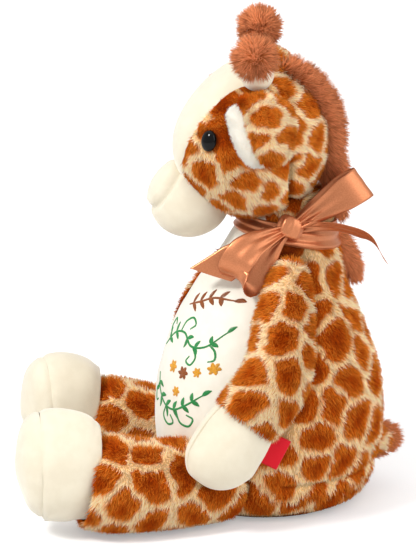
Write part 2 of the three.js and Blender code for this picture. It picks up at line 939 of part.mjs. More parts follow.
function addEar( name, side ) {

	const outwards = new THREE.Vector3( side * Math.cos( earTilt ), 0, Math.sin( earTilt ) );
	const reach = headHalfWidth + earStand;
	const centre = headCentre.clone().addScaledVector( outwards, reach );
	centre.y += earBack;
	const group = groupAt( headGroup, ...centre.toArray() );
	group.rotation.set( 0, - side * ( earTilt + earLean ), 0 );
	group.updateWorldMatrix( true, false );
	const leaf = ( halfWidth, halfLength, thick, shift, lift ) => {

		const form = ball( thick / 2, halfWidth, halfLength, smallSides, smallRings );
		form.translate( 0, - shift, - shift );
		form.rotateX( - earTurn );
		form.translate( side * lift, 0, 0 );
		return form;

	};

	const outer = solidOf( inWorld( leaf( earHalfWidth, earHalfLength, earThick, 0, 0 ), group ) );
	const outerRoom = solidOf( inWorld( leaf(
		earHalfWidth + seamGap,
		earHalfLength + seamGap,
		earThick + 2 * seamGap,
		0,
		0
	), group ) );
	const lining = solidOf( inWorld( leaf(
		earHalfWidth,
		earHalfLength,
		liningThick + earThick / 2,
		liningForward,
		- earThick / 2
	), group ) );
	const room = earRoom( group, side );
	addPiece( group, `ear_${ name }`, outer.subtract( room ), patternedFur );
	addPiece( group, `ear_lining_${ name }`, lining.subtract( outerRoom ).subtract( room ), whitePlush );

}

// Horns: a velour stalk with a round foot that rolls in a dimple of the head, and a fur pompon
function hornFrame( side ) {

	const foot = new THREE.Vector3( side * hornAcross, hornBack, 0 );
	const across = foot.x / headHalfWidth;
	const along = foot.y / headHalfDepth;
	foot.z = headHalfHeight * Math.sqrt( 1 - across * across - along * along ) + hornRadius - hornDip;
	foot.add( headCentre );
	const group = groupAt( headGroup, ...foot.toArray() );
	group.rotation.set( 0, side * hornLean, 0 );
	group.updateWorldMatrix( true, false );
	return group;

}

function hornBall( side, grow ) {

	const frame = hornFrame( side );
	frame.removeFromParent();
	const size = hornRadius + grow;
	return solidOf( inWorld( ball( size, size, size, smallSides, smallRings ), frame ) );

}

function addHorn( name, side ) {

	const group = hornFrame( side );
	const profile = [ new THREE.Vector2( 0, - hornRadius ) ];
	for ( let k = 1; k <= smallRings / 2; k ++ ) {

		const angle = halfTurn * k / smallRings;
		profile.push( new THREE.Vector2( hornRadius * Math.sin( angle ), - hornRadius * Math.cos( angle ) ) );

	}

	profile.push( new THREE.Vector2( hornTopRadius, hornLength ), new THREE.Vector2( 0, hornLength ) );
	const stalk = new THREE.LatheGeometry( profile, smallSides );
	stalk.rotateX( halfTurn / 2 );
	const pompon = ( grow ) => {

		const size = pomponRadius + grow;
		const form = ball( size, size, size, smallSides, smallRings );
		form.rotateZ( halfTurn / smallSides );
		form.translate( 0, 0, hornLength );
		return solidOf( inWorld( form, group ) );

	};

	const rod = solidOf( inWorld( stalk, group ) ).subtract( pompon( seamGap ) );
	addPiece( group, `horn_${ name }`, rod, creamVelour );
	addPiece( group, `pompon_${ name }`, pompon( 0 ), gingerFur );

}

// Mane: a strip of long fur sewn in the middle seam of the head and of the back
function maneForm( grow ) {

	const outline = new THREE.Shape();
	const steps = 10;
	const along = ( share ) => maneStart + ( maneEnd - maneStart ) * share;
	const spot = ( angle, radius ) => [
		headCentre.y + Math.cos( angle ) * ( headHalfDepth + radius ),
		headCentre.z + Math.sin( angle ) * ( headHalfHeight + radius )
	];
	const crest = ( share ) => grow + maneHeight * ( maneStartShare + ( 1 - maneStartShare ) * share );
	const nape = neckRadius + maneHeight - overrun + grow;
	outline.moveTo( ...spot( maneStart, - overrun ) );
	for ( let k = 0; k <= steps; k ++ ) outline.lineTo( ...spot( along( k / steps ), crest( k / steps ) ) );
	outline.lineTo( nape, headRise / 3 );
	outline.lineTo( nape, overrun - grow );
	outline.lineTo( neckRadius, overrun - grow );
	outline.lineTo( neckRadius - overrun, headRise / 3 );
	for ( let k = steps; k > 0; k -- ) outline.lineTo( ...spot( along( k / steps ), - overrun ) );
	return solidOf( inWorld( maneStrip( outline, maneThick + 2 * grow ), headGroup ) );

}

// An outline drawn in (back, up) stands in the middle plane, as thick as the mane.
function maneStrip( outline, thick ) {

	const strip = new THREE.ExtrudeGeometry( outline, { depth: thick, bevelEnabled: false } );
	strip.translate( 0, 0, - thick / 2 );
	strip.applyMatrix4( new THREE.Matrix4().set( 0, 0, 1, 0, 1, 0, 0, 0, 0, 1, 0, 0, 0, 0, 0, 1 ) );
	return strip;

}

// Where the mane passes as the head turns and nods
function maneSweep() {

	const neck = new THREE.Vector3( 0, neckBack, torsoHeight );
	const rest = maneForm( seamGap );
	const nods = [ 1, 0, - 1 ].map(
		( way ) => turned( rest, headGroup, new THREE.Vector3(), 'X', way * headNod )
	);
	return united( shortSwingShares.map( ( share ) => united( nods.map(
		( solid ) => turned( solid, giraffe, neck, 'Z', - headTurn * share )
	) ) ) );

}

function addUpperMane() {

	const solid = maneForm( 0 ).subtract( headForm( seamGap ) ).subtract( neckRoom( 2 * softGap ) );
	addPiece( headGroup, 'mane_upper', solid, gingerFur );

}

function addLowerMane() {

	const outline = new THREE.Shape();
	const steps = 6;
	const bottom = lowerManeTop - lowerManeLength;
	const skinAt = ( height ) => {

		const share = height / torsoHeight;
		const centre = torsoSpine.getPointAt( share ).y;
		return centre + torsoHalfDepth * depthShareAt( share );

	};

	const arch = ( share ) => Math.sin( halfTurn * THREE.MathUtils.lerp( ...lowerManeArchShares, share ) );
	const crest = ( share ) => lowerManeHeight * Math.sqrt( arch( share ) );
	const height = ( share ) => bottom + lowerManeLength * share;
	const inner = ( share ) => [ skinAt( height( share ) ) - overrun, height( share ) ];
	outline.moveTo( ...inner( 0 ) );
	for ( let k = 0; k <= steps; k ++ ) {

		const share = k / steps;
		outline.lineTo( skinAt( height( share ) ) + crest( share ), height( share ) );

	}

	for ( let k = steps; k > 0; k -- ) outline.lineTo( ...inner( k / steps ) );
	const strip = solidOf( maneStrip( outline, maneThick ) );
	const solid = strip.subtract( torsoForm( seamGap ) ).subtract( bandForm( seamGap ) );
	addPiece( torsoGroup, 'mane_lower', solid, gingerFur );

}

function depthShareAt( share ) {

	const next = torsoRows.findIndex( ( row ) => row[ 0 ] >= share );
	const upper = torsoRows[ Math.max( next, 1 ) ];
	const lower = torsoRows[ Math.max( next, 1 ) - 1 ];
	const blend = ( share - lower[ 0 ] ) / ( upper[ 0 ] - lower[ 0 ] );
	return lower[ 2 ] + ( upper[ 2 ] - lower[ 2 ] ) * blend;

}

// Tail: a short flap with a fur edge, clear of the back wherever it wags
function addTail() {

	const root = torsoHalfDepth * depthShareAt( tailHeight / torsoHeight );
	const group = groupAt( giraffe, 0, root, tailHeight );
	const flap = ( grow ) => {

		const form = ball(
			tailHalfThick + grow,
			tailLength - tuftDepth + grow,
			tailHalfHeight + grow,
			smallSides,
			smallRings
		);
		return solidOf( inWorld( form, group ) );

	};

	const edge = ball( tailHalfThick, tailLength, tailHalfHeight + tuftDepth, smallSides, smallRings );
	const body = torsoForm( softGap );
	const clear = united( [ 1, 0, - 1 ].map(
		( way ) => turned( body, group, new THREE.Vector3(), 'Z', way * tailWag )
	) );
	addPiece( group, 'tail', flap( 0 ).subtract( clear ), patternedFur );
	const fringe = solidOf( inWorld( edge, group ) ).subtract( flap( seamGap ) ).subtract( clear );
	addPiece( group, 'tail_tuft', fringe, gingerFur );

}

// Side label: a folded woven tab in the side seam, lying back against the flank
function addLabel() {

	const share = depthShareAt( labelHeight / torsoHeight );
	const across = torsoHalfWidth * share * Math.sin( labelAngle );
	const along = - torsoHalfDepth * share * Math.cos( labelAngle );
	const group = groupAt( giraffe, across + labelThick + softGap, along, labelHeight );
	group.rotation.set( labelSlant, 0, 0 );
	group.updateWorldMatrix( true, false );
	const tab = block(
		new THREE.Vector3( - labelThick / 2, 0, - labelLength / 2 ),
		new THREE.Vector3( labelThick / 2, labelWidth, labelLength / 2 )
	);
	const solid = solidOf( inWorld( tab, group ) ).subtract( torsoForm( seamGap ) );
	addPiece( group, 'side_label', solid, redLabel );

}

// Satin bow: a band round the neck, a knot on the left, two loops and two tails
function bandForm( grow ) {

	const reach = 2 * torsoHeight;
	const slab = solidOf( block(
		new THREE.Vector3( - reach, - reach, bandTop - bandWidth - grow ),
		new THREE.Vector3( reach, reach, bandTop + grow )
	) );
	return torsoForm( seamGap + ribbonThick + grow ).subtract( torsoForm( seamGap - grow ) ).intersect( slab );

}

function ribbonSolid( points, width, across ) {

	const curve = new THREE.CatmullRomCurve3( points );
	const steps = 3 * points.length;
	const positions = [];
	const index = [];
	for ( let k = 0; k <= steps; k ++ ) {

		const share = k / steps;
		const centre = curve.getPointAt( share );
		const tangent = curve.getTangentAt( share );
		const face = new THREE.Vector3().crossVectors( tangent, across ).normalize();
		const wide = new THREE.Vector3().crossVectors( face, tangent ).normalize();
		const half = width( share ) / 2;
		[ [ - half, - 0.5 ], [ half, - 0.5 ], [ half, 0.5 ], [ - half, 0.5 ] ].forEach( ( [ w, t ] ) => {

			const corner = centre.clone().addScaledVector( wide, w ).addScaledVector( face, t * ribbonThick );
			positions.push( ...corner.toArray() );

		} );

	}

	for ( let k = 0; k < steps; k ++ ) band( index, 4 * k, 4 * k + 4, 4 );
	index.push( 0, 2, 1, 0, 3, 2 );
	const last = 4 * steps;
	index.push( last, last + 1, last + 2, last, last + 2, last + 3 );
	const geometry = new THREE.BufferGeometry();
	geometry.setAttribute( 'position', new THREE.Float32BufferAttribute( positions, 3 ) );
	geometry.setIndex( index );
	return solidOf( geometry );

}

const knotCentre = new THREE.Vector3(
	neckRadius + knotHalfDepth * knotSeatShare,
	neckBack - knotForward,
	bandTop - bandWidth / 2 + knotHalfHeight
);

// The ribbon's paths from the knot, as (left, back, up) shares of the ribbon's width
const backLoopShares = [
	[ 0.05, 0.2, 0.12 ],
	[ 0.45, 1, 0.6 ],
	[ 0.7, 1.8, 1.2 ],
	[ 0.42, 2.1, 1.12 ],
	[ 0.1, 1.75, 0.85 ],
	[ 0, 1.1, 0.4 ],
	[ 0.02, 0.2, 0.02 ]
];
const frontLoopShares = [
	[ 0.05, - 0.2, - 0.08 ],
	[ 0.7, - 1.5, - 0.55 ],
	[ 1.1, - 2.2, - 1.2 ],
	[ 1.05, - 1.8, - 1.6 ],
	[ 0.85, - 1.1, - 1.45 ],
	[ 0.5, - 0.5, - 0.8 ],
	[ 0.12, - 0.1, - 0.2 ]
];
const backTailShares = [
	[ 0.1, 0.25, - 0.1 ],
	[ 0.35, 1.2, - 0.05 ],
	[ 0.4, 2, - 0.1 ],
	[ 0.35, 2.7, - 0.85 ]
];
const frontTailShares = [
	[ - 0.05, - 0.25, - 0.1 ],
	[ - 0.1, - 1.2, - 0.4 ],
	[ - 0.3, - 2, - 0.9 ],
	[ - 0.42, - 2.75, - 1.3 ]
];

function addBow() {

	const knot = ( grow ) => {

		const sizes = [ knotHalfDepth, knotHalfWidth, knotHalfHeight ].map( ( size ) => size + grow );
		const form = ball( ...sizes, knotSides, knotSides / 2 );
		form.translate( ...knotCentre.toArray() );
		return solidOf( form );

	};

	addPiece( torsoGroup, 'bow_band', bandForm( 0 ).subtract( knot( seamGap ) ), copperSatin );
	addPiece( torsoGroup, 'bow_knot', knot( 0 ).subtract( torsoForm( seamGap ) ), copperSatin );
	const lerp = THREE.MathUtils.lerp;
	const nearEnd = ( share ) => Math.min( 1, 3 * Math.min( share, 1 - share ) );
	const loopWidth = ( share ) => ribbonWidth * lerp( loopPinchShare, 1, nearEnd( share ) );
	const backTailWidth = ( share ) => ribbonWidth * lerp( ...backTailWidthShares, share );
	const frontTailWidth = ( share ) => {

		return ribbonWidth * lerp( ...frontTailWidthShares, Math.min( 1, 2 * share ) );

	};

	const left = new THREE.Vector3( 1, 0, 0 );
	const bound = bandForm( seamGap ).add( knot( seamGap ) );
	let taken = united( [ torsoForm( softGap ), bound, leftSleeve, maneSweep() ] );
	[
		[ 'bow_loop_back', backLoopShares, loopWidth, left ],
		[ 'bow_loop_front', frontLoopShares, loopWidth, left ],
		[ 'bow_tail_back', backTailShares, backTailWidth, up ],
		[ 'bow_tail_front', frontTailShares, frontTailWidth, up ]
	].forEach( ( [ name, pathShares, width, across ] ) => {

		const points = pathShares.map(
			( place ) => new THREE.Vector3( ...place ).multiplyScalar( ribbonWidth ).add( knotCentre )
		);
		const ribbon = ribbonSolid( points, width, across );
		const pieces = ribbon.subtract( taken ).decompose();
		const whole = pieces.sort( ( a, b ) => b.volume() - a.volume() )[ 0 ];
		addPiece( torsoGroup, name, whole, copperSatin );
		taken = taken.add( ribbon );

	} );

}

// The neck's own filling is a half ball that turns inside the neck and carries the head.
function addNeckFilling() {

	const group = groupAt( giraffe, 0, neckBack, torsoHeight );
	const size = neckRadius - skinWall - neckGap;
	const form = ball( size, size, size, torsoSides, headRings );
	form.translate( 0, neckBack, torsoHeight );
	const lower = solidOf( block(
		new THREE.Vector3( - torsoHeight, - torsoHeight, 0 ),
		new THREE.Vector3( torsoHeight, torsoHeight, torsoHeight + seamGap )
	) );
	addPiece( group, 'neck_filling', solidOf( form ).subtract( lower ), fibreFill );

}

addTorso();
addZip();
addLeg( 'left', leftLeg );
addLeg( 'right', rightLeg );
const leftSleeve = addArm( 'left', 1, leftHand );
addArm( 'right', - 1, rightHand );
addHead();
addEye( 'left', 1 );
addEye( 'right', - 1 );
addEar( 'left', 1 );
addEar( 'right', - 1 );
addHorn( 'left', 1 );
addHorn( 'right', - 1 );
addUpperMane();
addLowerMane();
addNeckFilling();
addTail();
addLabel();
addBow();

export default giraffe;
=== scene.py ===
import math

import bmesh
import bpy
import numpy as np
from mathutils import Matrix, Vector, noise
from mathutils.bvhtree import BVHTree


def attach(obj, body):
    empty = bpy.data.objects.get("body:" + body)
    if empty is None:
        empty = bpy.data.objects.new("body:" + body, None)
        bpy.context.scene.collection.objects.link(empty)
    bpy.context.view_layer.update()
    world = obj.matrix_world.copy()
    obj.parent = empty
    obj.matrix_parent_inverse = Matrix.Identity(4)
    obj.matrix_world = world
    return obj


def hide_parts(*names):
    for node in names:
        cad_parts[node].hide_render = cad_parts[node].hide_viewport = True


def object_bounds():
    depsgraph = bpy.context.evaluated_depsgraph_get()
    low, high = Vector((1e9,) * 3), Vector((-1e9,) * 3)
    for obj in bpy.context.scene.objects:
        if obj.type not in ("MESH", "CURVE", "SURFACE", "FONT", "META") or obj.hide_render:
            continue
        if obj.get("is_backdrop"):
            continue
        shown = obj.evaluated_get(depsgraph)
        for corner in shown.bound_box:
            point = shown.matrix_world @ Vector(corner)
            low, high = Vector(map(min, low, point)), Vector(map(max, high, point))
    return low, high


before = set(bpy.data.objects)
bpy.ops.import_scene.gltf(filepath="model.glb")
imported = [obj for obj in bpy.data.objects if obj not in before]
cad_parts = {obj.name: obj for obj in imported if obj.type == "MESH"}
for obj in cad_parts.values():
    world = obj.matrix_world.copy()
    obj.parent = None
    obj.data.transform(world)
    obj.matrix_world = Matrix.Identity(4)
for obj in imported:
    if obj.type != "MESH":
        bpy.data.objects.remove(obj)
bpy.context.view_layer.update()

# The torso is a pear-shaped bag of spotted plush, cut in panels, turned and stuffed with fibre.
# The pile is 5.5 mm, brushed downwards, and each patch of colour is printed in the pile,
# so every hair keeps the colour of its root and the patches end in streaks.
MM = 0.001


def curve_through(points, count):
    """count points, evenly spaced, on a smooth line through points; the first and last are only guides."""
    points = np.asarray(points, float)
    found = []
    for p0, p1, p2, p3 in zip(points, points[1:], points[2:], points[3:]):
        t1 = max(np.linalg.norm(p1 - p0), 1e-9) ** 0.5
        t2 = t1 + max(np.linalg.norm(p2 - p1), 1e-9) ** 0.5
        t3 = t2 + max(np.linalg.norm(p3 - p2), 1e-9) ** 0.5
        t = np.linspace(t1, t2, 33)[:-1, None]
        a1 = (t1 - t) / t1 * p0 + t / t1 * p1
        a2 = (t2 - t) / (t2 - t1) * p1 + (t - t1) / (t2 - t1) * p2
        a3 = (t3 - t) / (t3 - t2) * p2 + (t - t2) / (t3 - t2) * p3
        b1 = (t2 - t) / t2 * a1 + t / t2 * a2
        b2 = (t3 - t) / (t3 - t1) * a2 + (t - t1) / (t3 - t1) * a3
        found.append((t2 - t) / (t2 - t1) * b1 + (t - t1) / (t2 - t1) * b2)
    line = np.vstack(found + [points[-2:-1]])
    steps = np.r_[0, np.cumsum(np.linalg.norm(np.diff(line, axis=0), axis=1))]
    at = np.linspace(0, steps[-1], count)
    return np.stack([np.interp(at, steps, line[:, k]) for k in range(line.shape[1])], axis=1)


def with_guides(points):
    """The points with one more at each end, straight on."""
    points = [np.asarray(p, float) for p in points]
    return [2 * points[0] - points[1], *points, 2 * points[-1] - points[-2]]


def stuffed(spine, rows, half_width, half_depth, toward, rings):
    """Oval rings along a bent spine: their middles, and their width and depth as vectors.
    A row is (place along the spine, half width, half depth) in shares; one of no width is a round end."""
    line = curve_through(with_guides(spine), 400)
    lean = np.gradient(line, axis=0)
    lean /= np.linalg.norm(lean, axis=1)[:, None]
    length = np.linalg.norm(np.diff(line, axis=0), axis=1).sum()
    rows = [np.array([s * length, w * half_width, d * half_depth]) for s, w, d in rows]
    first = rows[1] * [1, -1, -1] if rows[0][1] == 0 else 2 * rows[0] - rows[1]
    last = rows[-2] * [1, -1, -1] if rows[-1][1] == 0 else 2 * rows[-1] - rows[-2]
    profile = curve_through([first, *rows, last], rings)
    at = np.linspace(0, length, len(line))
    middles = np.stack([np.interp(profile[:, 0], at, line[:, k]) for k in range(3)], axis=1)
    tangents = np.stack([np.interp(profile[:, 0], at, lean[:, k]) for k in range(3)], axis=1)
    side = np.cross(np.asarray(toward, float), tangents)
    side /= np.linalg.norm(side, axis=1)[:, None]
    deep = np.cross(tangents, side)
    deep /= np.linalg.norm(deep, axis=1)[:, None]
    return middles, side * profile[:, 1:2], deep * profile[:, 2:3]


def ring_points(form, angles):
    """The points of a stuffed form's rings at the given angles, one row of angles or one for each ring."""
    middles, wide, deep = form
    angles = np.broadcast_to(angles, (len(middles), np.shape(angles)[-1]))[..., None]
    return middles[:, None] + wide[:, None] * np.cos(angles) + deep[:, None] * np.sin(angles)


def turned(points, matrix):
    """Points moved by a 4 x 4 matrix."""
    m = np.array(matrix)
    return points @ m[:3, :3].T + m[:3, 3]


def linked(name, data):
    """A new object in the scene with that mesh, lamp or camera."""
    ob = bpy.data.objects.new(name, data)
    bpy.context.scene.collection.objects.link(ob)
    return ob


def skin(name, grids):
    """A mesh of grids of points, (points, wraps round, mask of quads or None), welded where they meet."""
    points, faces, base = [], [], 0
    for grid, wraps, mask in grids:
        rows, columns = grid.shape[:2]
        index = base + np.arange(rows * columns).reshape(rows, columns)
        points.append(grid.reshape(-1, 3))
        base += rows * columns
        right = np.roll(index, -1, axis=1) if wraps else index[:, 1:]
        left = index if wraps else index[:, :-1]
        quads = np.stack([left[:-1], right[:-1], right[1:], left[1:]], axis=-1)
        faces.append(quads[mask] if mask is not None else quads.reshape(-1, 4))
    mesh = bpy.data.meshes.new(name)
    mesh.from_pydata(np.vstack(points).tolist(), [], np.vstack(faces).tolist())
    work = bmesh.new()
    work.from_mesh(mesh)
    bmesh.ops.remove_doubles(work, verts=work.verts, dist=0.02 * MM)
    bmesh.ops.dissolve_degenerate(work, edges=work.edges, dist=0.01 * MM)
    bmesh.ops.delete(work, geom=[v for v in work.verts if not v.link_faces], context="VERTS")
    bmesh.ops.recalc_face_normals(work, faces=work.faces)
    work.to_mesh(mesh)
    work.free()
    mesh.shade_smooth()
    return linked(name, mesh)


def outwards(ob, inside):
    """Turns the mesh inside out if its faces look towards the point inside."""
    mesh = ob.data
    centres = np.array([p.center for p in mesh.polygons])
    normals = np.array([p.normal for p in mesh.polygons])
    if ((centres - np.asarray(inside)) * normals).sum() < 0:
        mesh.flip_normals()
    return ob


def corners_of(mesh):
    """The places and the normals of the mesh's vertices."""
    co = np.empty(len(mesh.vertices) * 3, np.float32)
    mesh.vertices.foreach_get("co", co)
    no = np.empty(len(mesh.vertices) * 3, np.float32)
    mesh.vertex_normals.foreach_get("vector", no)
    return co.reshape(-1, 3), no.reshape(-1, 3)


def put(mesh, name, values):
    """Stores one number or one vector for each vertex."""
    values = np.asarray(values, np.float32)
    vector = values.ndim == 2
    layer = mesh.attributes.new(name, "FLOAT_VECTOR" if vector else "FLOAT", "POINT")
    layer.data.foreach_set("vector" if vector else "value", values.ravel())


def reshaped(ob, places):
    """Moves the vertices of ob to new places."""
    ob.data.vertices.foreach_set("co", places.astype(np.float32).ravel())
    ob.data.update()
    return ob


def solid_of(mesh):
    """The mesh as a solid that can be measured from."""
    return BVHTree.FromPolygons([v.co for v in mesh.vertices], [list(f.vertices) for f in mesh.polygons])


PATCH_TRIES = 6000
PATCH_WAVE, PATCH_WAVE_MM = 14 * MM, 5
PATCH_RAGGED, PATCH_RAGGED_MM = 6 * MM, 1.8
PATCH_CORNER = 1.5 * MM
GAP_WAVE, GAP_WAVE_SHARE = 22 * MM, 0.5


def patches(points, spacing, gap, seed):
    """Giraffe patches: how far inside its patch each point is, in mm, below 0 between patches."""
    rng = np.random.default_rng(seed)
    noise.seed_set(seed)
    hearts = []
    for i in rng.permutation(len(points))[:PATCH_TRIES]:
        if not hearts or np.min(np.linalg.norm(np.array(hearts) - points[i], axis=1)) > spacing:
            hearts.append(points[i])
    hearts = np.array(hearts)
    wave = np.array([noise.noise_vector(Vector(p) / PATCH_WAVE) for p in points])
    ragged = np.array([noise.noise_vector(Vector(p) / PATCH_RAGGED) for p in points])
    at = points + wave * PATCH_WAVE_MM * MM + ragged * PATCH_RAGGED_MM * MM
    away = np.linalg.norm(at[:, None] - hearts[None], axis=2)
    nearest = np.argsort(away, axis=1)[:, :3]
    first, second, third = np.take_along_axis(away, nearest, axis=1).T
    edges = []
    for k, other in ((1, second), (2, third)):
        between = np.linalg.norm(hearts[nearest[:, 0]] - hearts[nearest[:, k]], axis=1)
        edges.append((other**2 - first**2) / (2 * between))
    rounded = -PATCH_CORNER * np.log(np.exp(-edges[0] / PATCH_CORNER) + np.exp(-edges[1] / PATCH_CORNER))
    room = gap * (1 + GAP_WAVE_SHARE * np.array([noise.noise(Vector(p) / GAP_WAVE) for p in points]))
    return (rounded - room / 2) / MM


def new_tree(name, kind, inputs, outputs):
    """An empty node tree with named inputs and outputs, and the sockets at its two ends."""
    tree = bpy.data.node_groups.new(name, kind)
    for way, sockets in (("INPUT", inputs), ("OUTPUT", outputs)):
        for label, socket in sockets.items():
            tree.interface.new_socket(label, in_out=way, socket_type="NodeSocket" + socket)
    return tree, tree.nodes.new("NodeGroupInput").outputs, tree.nodes.new("NodeGroupOutput").inputs


def add(tree, kind, inputs=None, **settings):
    """A new node with its settings, each of its inputs linked to a socket or given a value."""
    node = tree.nodes.new(kind)
    for name, value in settings.items():
        setattr(node, name, value)
    for key, value in (inputs or {}).items():
        if isinstance(value, bpy.types.NodeSocket):
            tree.links.new(value, node.inputs[key])
        else:
            node.inputs[key].default_value = value
    return node


def number(tree, operation, a, b):
    """The result of one operation on two numbers or sockets."""
    return add(tree, "ShaderNodeMath", {0: a, 1: b}, operation=operation).outputs[0]


def stored(tree, name, kind):
    """A value that the geometry carries under that name."""
    return add(tree, "GeometryNodeInputNamedAttribute", {"Name": name}, data_type=kind).outputs["Attribute"]


def fur_tree():
    """Hairs scattered on a skin, leaning with the brushed direction, in locks, with the root's colour."""
    tree, given, done = new_tree("hairs on a skin", "GeometryNodeTree", {
        "Skin": "Geometry", "Hair": "Object", "Cloth": "Material", "Hairs per m2": "Float", "Length": "Float",
        "Width": "Float", "Lift": "Float", "Lock size": "Float", "Lock pull": "Float", "Scatter": "Float",
        "Seed": "Int",
    }, {"Coat": "Geometry"})

    def vector(operation, inputs):
        return add(tree, "ShaderNodeVectorMath", inputs, operation=operation).outputs[0]

    def chance(low, high, step):
        seed = number(tree, "ADD", given["Seed"], step)
        drawn = add(tree, "FunctionNodeRandomValue", {2: low, 3: high, "Seed": seed}, data_type="FLOAT")
        return drawn.outputs[1]

    def remember(geometry, name, value, kind):
        inputs = {"Name": name, "Geometry": geometry, "Value": value}
        node = add(tree, "GeometryNodeStoreNamedAttribute", inputs, data_type=kind, domain="POINT")
        return node.outputs["Geometry"]

    scatter = add(tree, "GeometryNodeDistributePointsOnFaces", {
        "Mesh": given["Skin"], "Density": given["Hairs per m2"], "Seed": given["Seed"],
    })
    normal = scatter.outputs["Normal"]
    lock_scale = number(tree, "DIVIDE", 1.0, given["Lock size"])
    locks = add(tree, "ShaderNodeTexNoise", {"Detail": 1.0, "Scale": lock_scale})
    gathered = vector("SUBTRACT", {0: locks.outputs["Color"], 1: (0.5, 0.5, 0.5)})
    stray = add(tree, "FunctionNodeRandomValue", {
        0: (-1, -1, -1), 1: (1, 1, 1), "Seed": number(tree, "ADD", given["Seed"], 5),
    }, data_type="FLOAT_VECTOR")
    way = vector("SCALE", {0: normal, "Scale": given["Lift"]})
    way = vector("ADD", {0: way, 1: stored(tree, "comb", "FLOAT_VECTOR")})
    way = vector("ADD", {0: way, 1: vector("SCALE", {0: gathered, "Scale": given["Lock pull"]})})
    way = vector("ADD", {0: way, 1: vector("SCALE", {0: stray.outputs[0], "Scale": given["Scatter"]})})
    straight = vector("NORMALIZE", {0: way})
    facing = add(tree, "FunctionNodeAlignRotationToVector", {"Vector": straight}, axis="Z")

    points = remember(scatter.outputs["Points"], "root normal", normal, "FLOAT_VECTOR")
    points = remember(points, "shade", chance(0, 1, 11), "FLOAT")
    width = number(tree, "MULTIPLY", given["Width"], chance(0.7, 1.3, 17))
    length = number(tree, "MULTIPLY", given["Length"], chance(0.65, 1.15, 23))
    length = number(tree, "MULTIPLY", length, stored(tree, "pile", "FLOAT"))
    size = add(tree, "ShaderNodeCombineXYZ", {0: width, 1: width, 2: length})
    hair = add(tree, "GeometryNodeObjectInfo", {"Object": given["Hair"]})
    planted = add(tree, "GeometryNodeInstanceOnPoints", {
        "Points": points, "Instance": hair.outputs["Geometry"], "Rotation": facing.outputs[0],
        "Scale": size.outputs[0],
    })
    real = add(tree, "GeometryNodeRealizeInstances", {0: planted.outputs["Instances"]})
    both = add(tree, "GeometryNodeJoinGeometry", {0: real.outputs[0]})
    tree.links.new(given["Skin"], both.inputs[0])
    cloth = add(tree, "GeometryNodeSetMaterial", {"Geometry": both.outputs[0], "Material": given["Cloth"]})
    tree.links.new(cloth.outputs[0], done["Coat"])
    return tree


fur = fur_tree()
hair_mesh = bpy.data.meshes.new("one hair")
hair_mesh.from_pydata(
    [(0.5, 0, 0), (-0.25, 0.433, 0), (-0.25, -0.433, 0), (0, 0, 1)], [], [(0, 1, 3), (1, 2, 3), (2, 0, 3)]
)
hair_mesh.shade_smooth()
put(hair_mesh, "along", [0, 0, 0, 1])
one_hair = linked("one hair", hair_mesh)
ROOT_SHARE, OWN_SHARE = 0.8, 0.45


def grown_mesh(ob, tree, values):
    """Runs a node tree on the mesh of ob with its named inputs, and keeps the result as a plain mesh."""
    fitted = ob.modifiers.new(tree.name, "NODES")
    fitted.node_group = tree
    for item in tree.interface.items_tree:
        if item.in_out == "INPUT" and item.name in values:
            fitted[item.identifier] = values[item.name]
    graph = bpy.context.evaluated_depsgraph_get()
    grown = bpy.data.meshes.new_from_object(
        ob.evaluated_get(graph), preserve_all_data_layers=True, depsgraph=graph
    )
    ob.modifiers.clear()
    ob.data = grown
    grown.name = ob.name
    return grown


def coat(
    ob, cloth, hairs, length, width, comb, lift=0.8, lock=5 * MM, pull=2.0, scatter=0.35, seed=1, pile=None
):
    """Grows about that many hairs on the skin ob. comb is the brushed way for each vertex, or one for all."""
    co, no = corners_of(ob.data)
    comb = np.broadcast_to(np.asarray(comb, float), co.shape)
    put(ob.data, "comb", comb - no * (comb * no).sum(axis=1)[:, None])
    put(ob.data, "pile", np.ones(len(co)) if pile is None else pile)
    area = sum(p.area for p in ob.data.polygons)
    grown = grown_mesh(ob, fur, {
        "Hair": one_hair, "Cloth": cloth, "Hairs per m2": hairs / area, "Length": length, "Width": width,
        "Lift": lift, "Lock size": lock, "Lock pull": pull, "Scatter": scatter, "Seed": seed,
    })
    grown.shade_smooth()
    roots = np.empty(len(grown.vertices) * 3, np.float32)
    grown.attributes["root normal"].data.foreach_get("vector", roots)
    _, own = corners_of(grown)
    mixed = roots.reshape(-1, 3) * ROOT_SHARE + own * OWN_SHARE
    mixed /= np.maximum(np.linalg.norm(mixed, axis=1), 1e-9)[:, None]
    grown.normals_split_custom_set_from_vertices(mixed.tolist())
    return ob


def beside(points, nodes):
    """How far each point is from the nearest of the solid model's pieces."""
    away = np.full(len(points), 1.0)
    for node in nodes:
        solid = solid_of(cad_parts[node].data)
        away = np.minimum(away, [solid.find_nearest(Vector(p))[3] for p in points])
    return away


def pressed(ob, away, depth, reach):
    """Draws the skin in where another piece lies against it or a seam runs, by its distance from that."""
    co, no = corners_of(ob.data)
    return reshaped(ob, co - no * (depth * np.exp(-((away / reach) ** 2)))[:, None])


def paint(code):
    """A colour from its six hexadecimal digits, as the renderer's linear values."""
    parts = [int(code[i : i + 2], 16) / 255 for i in (0, 2, 4)]
    return (*(c / 12.92 if c <= 0.04045 else ((c + 0.055) / 1.055) ** 2.4 for c in parts), 1.0)


def cloth(name, roughness, sheen, specular=0.2):
    """A new material, its node tree and its surface node."""
    made = bpy.data.materials.new(name)
    made.use_nodes = True
    surface = made.node_tree.nodes["Principled BSDF"]
    surface.inputs["Roughness"].default_value = roughness
    surface.inputs["Sheen Weight"].default_value = sheen
    surface.inputs["Sheen Roughness"].default_value = 0.5
    surface.inputs["Specular IOR Level"].default_value = specular
    return made, made.node_tree, surface


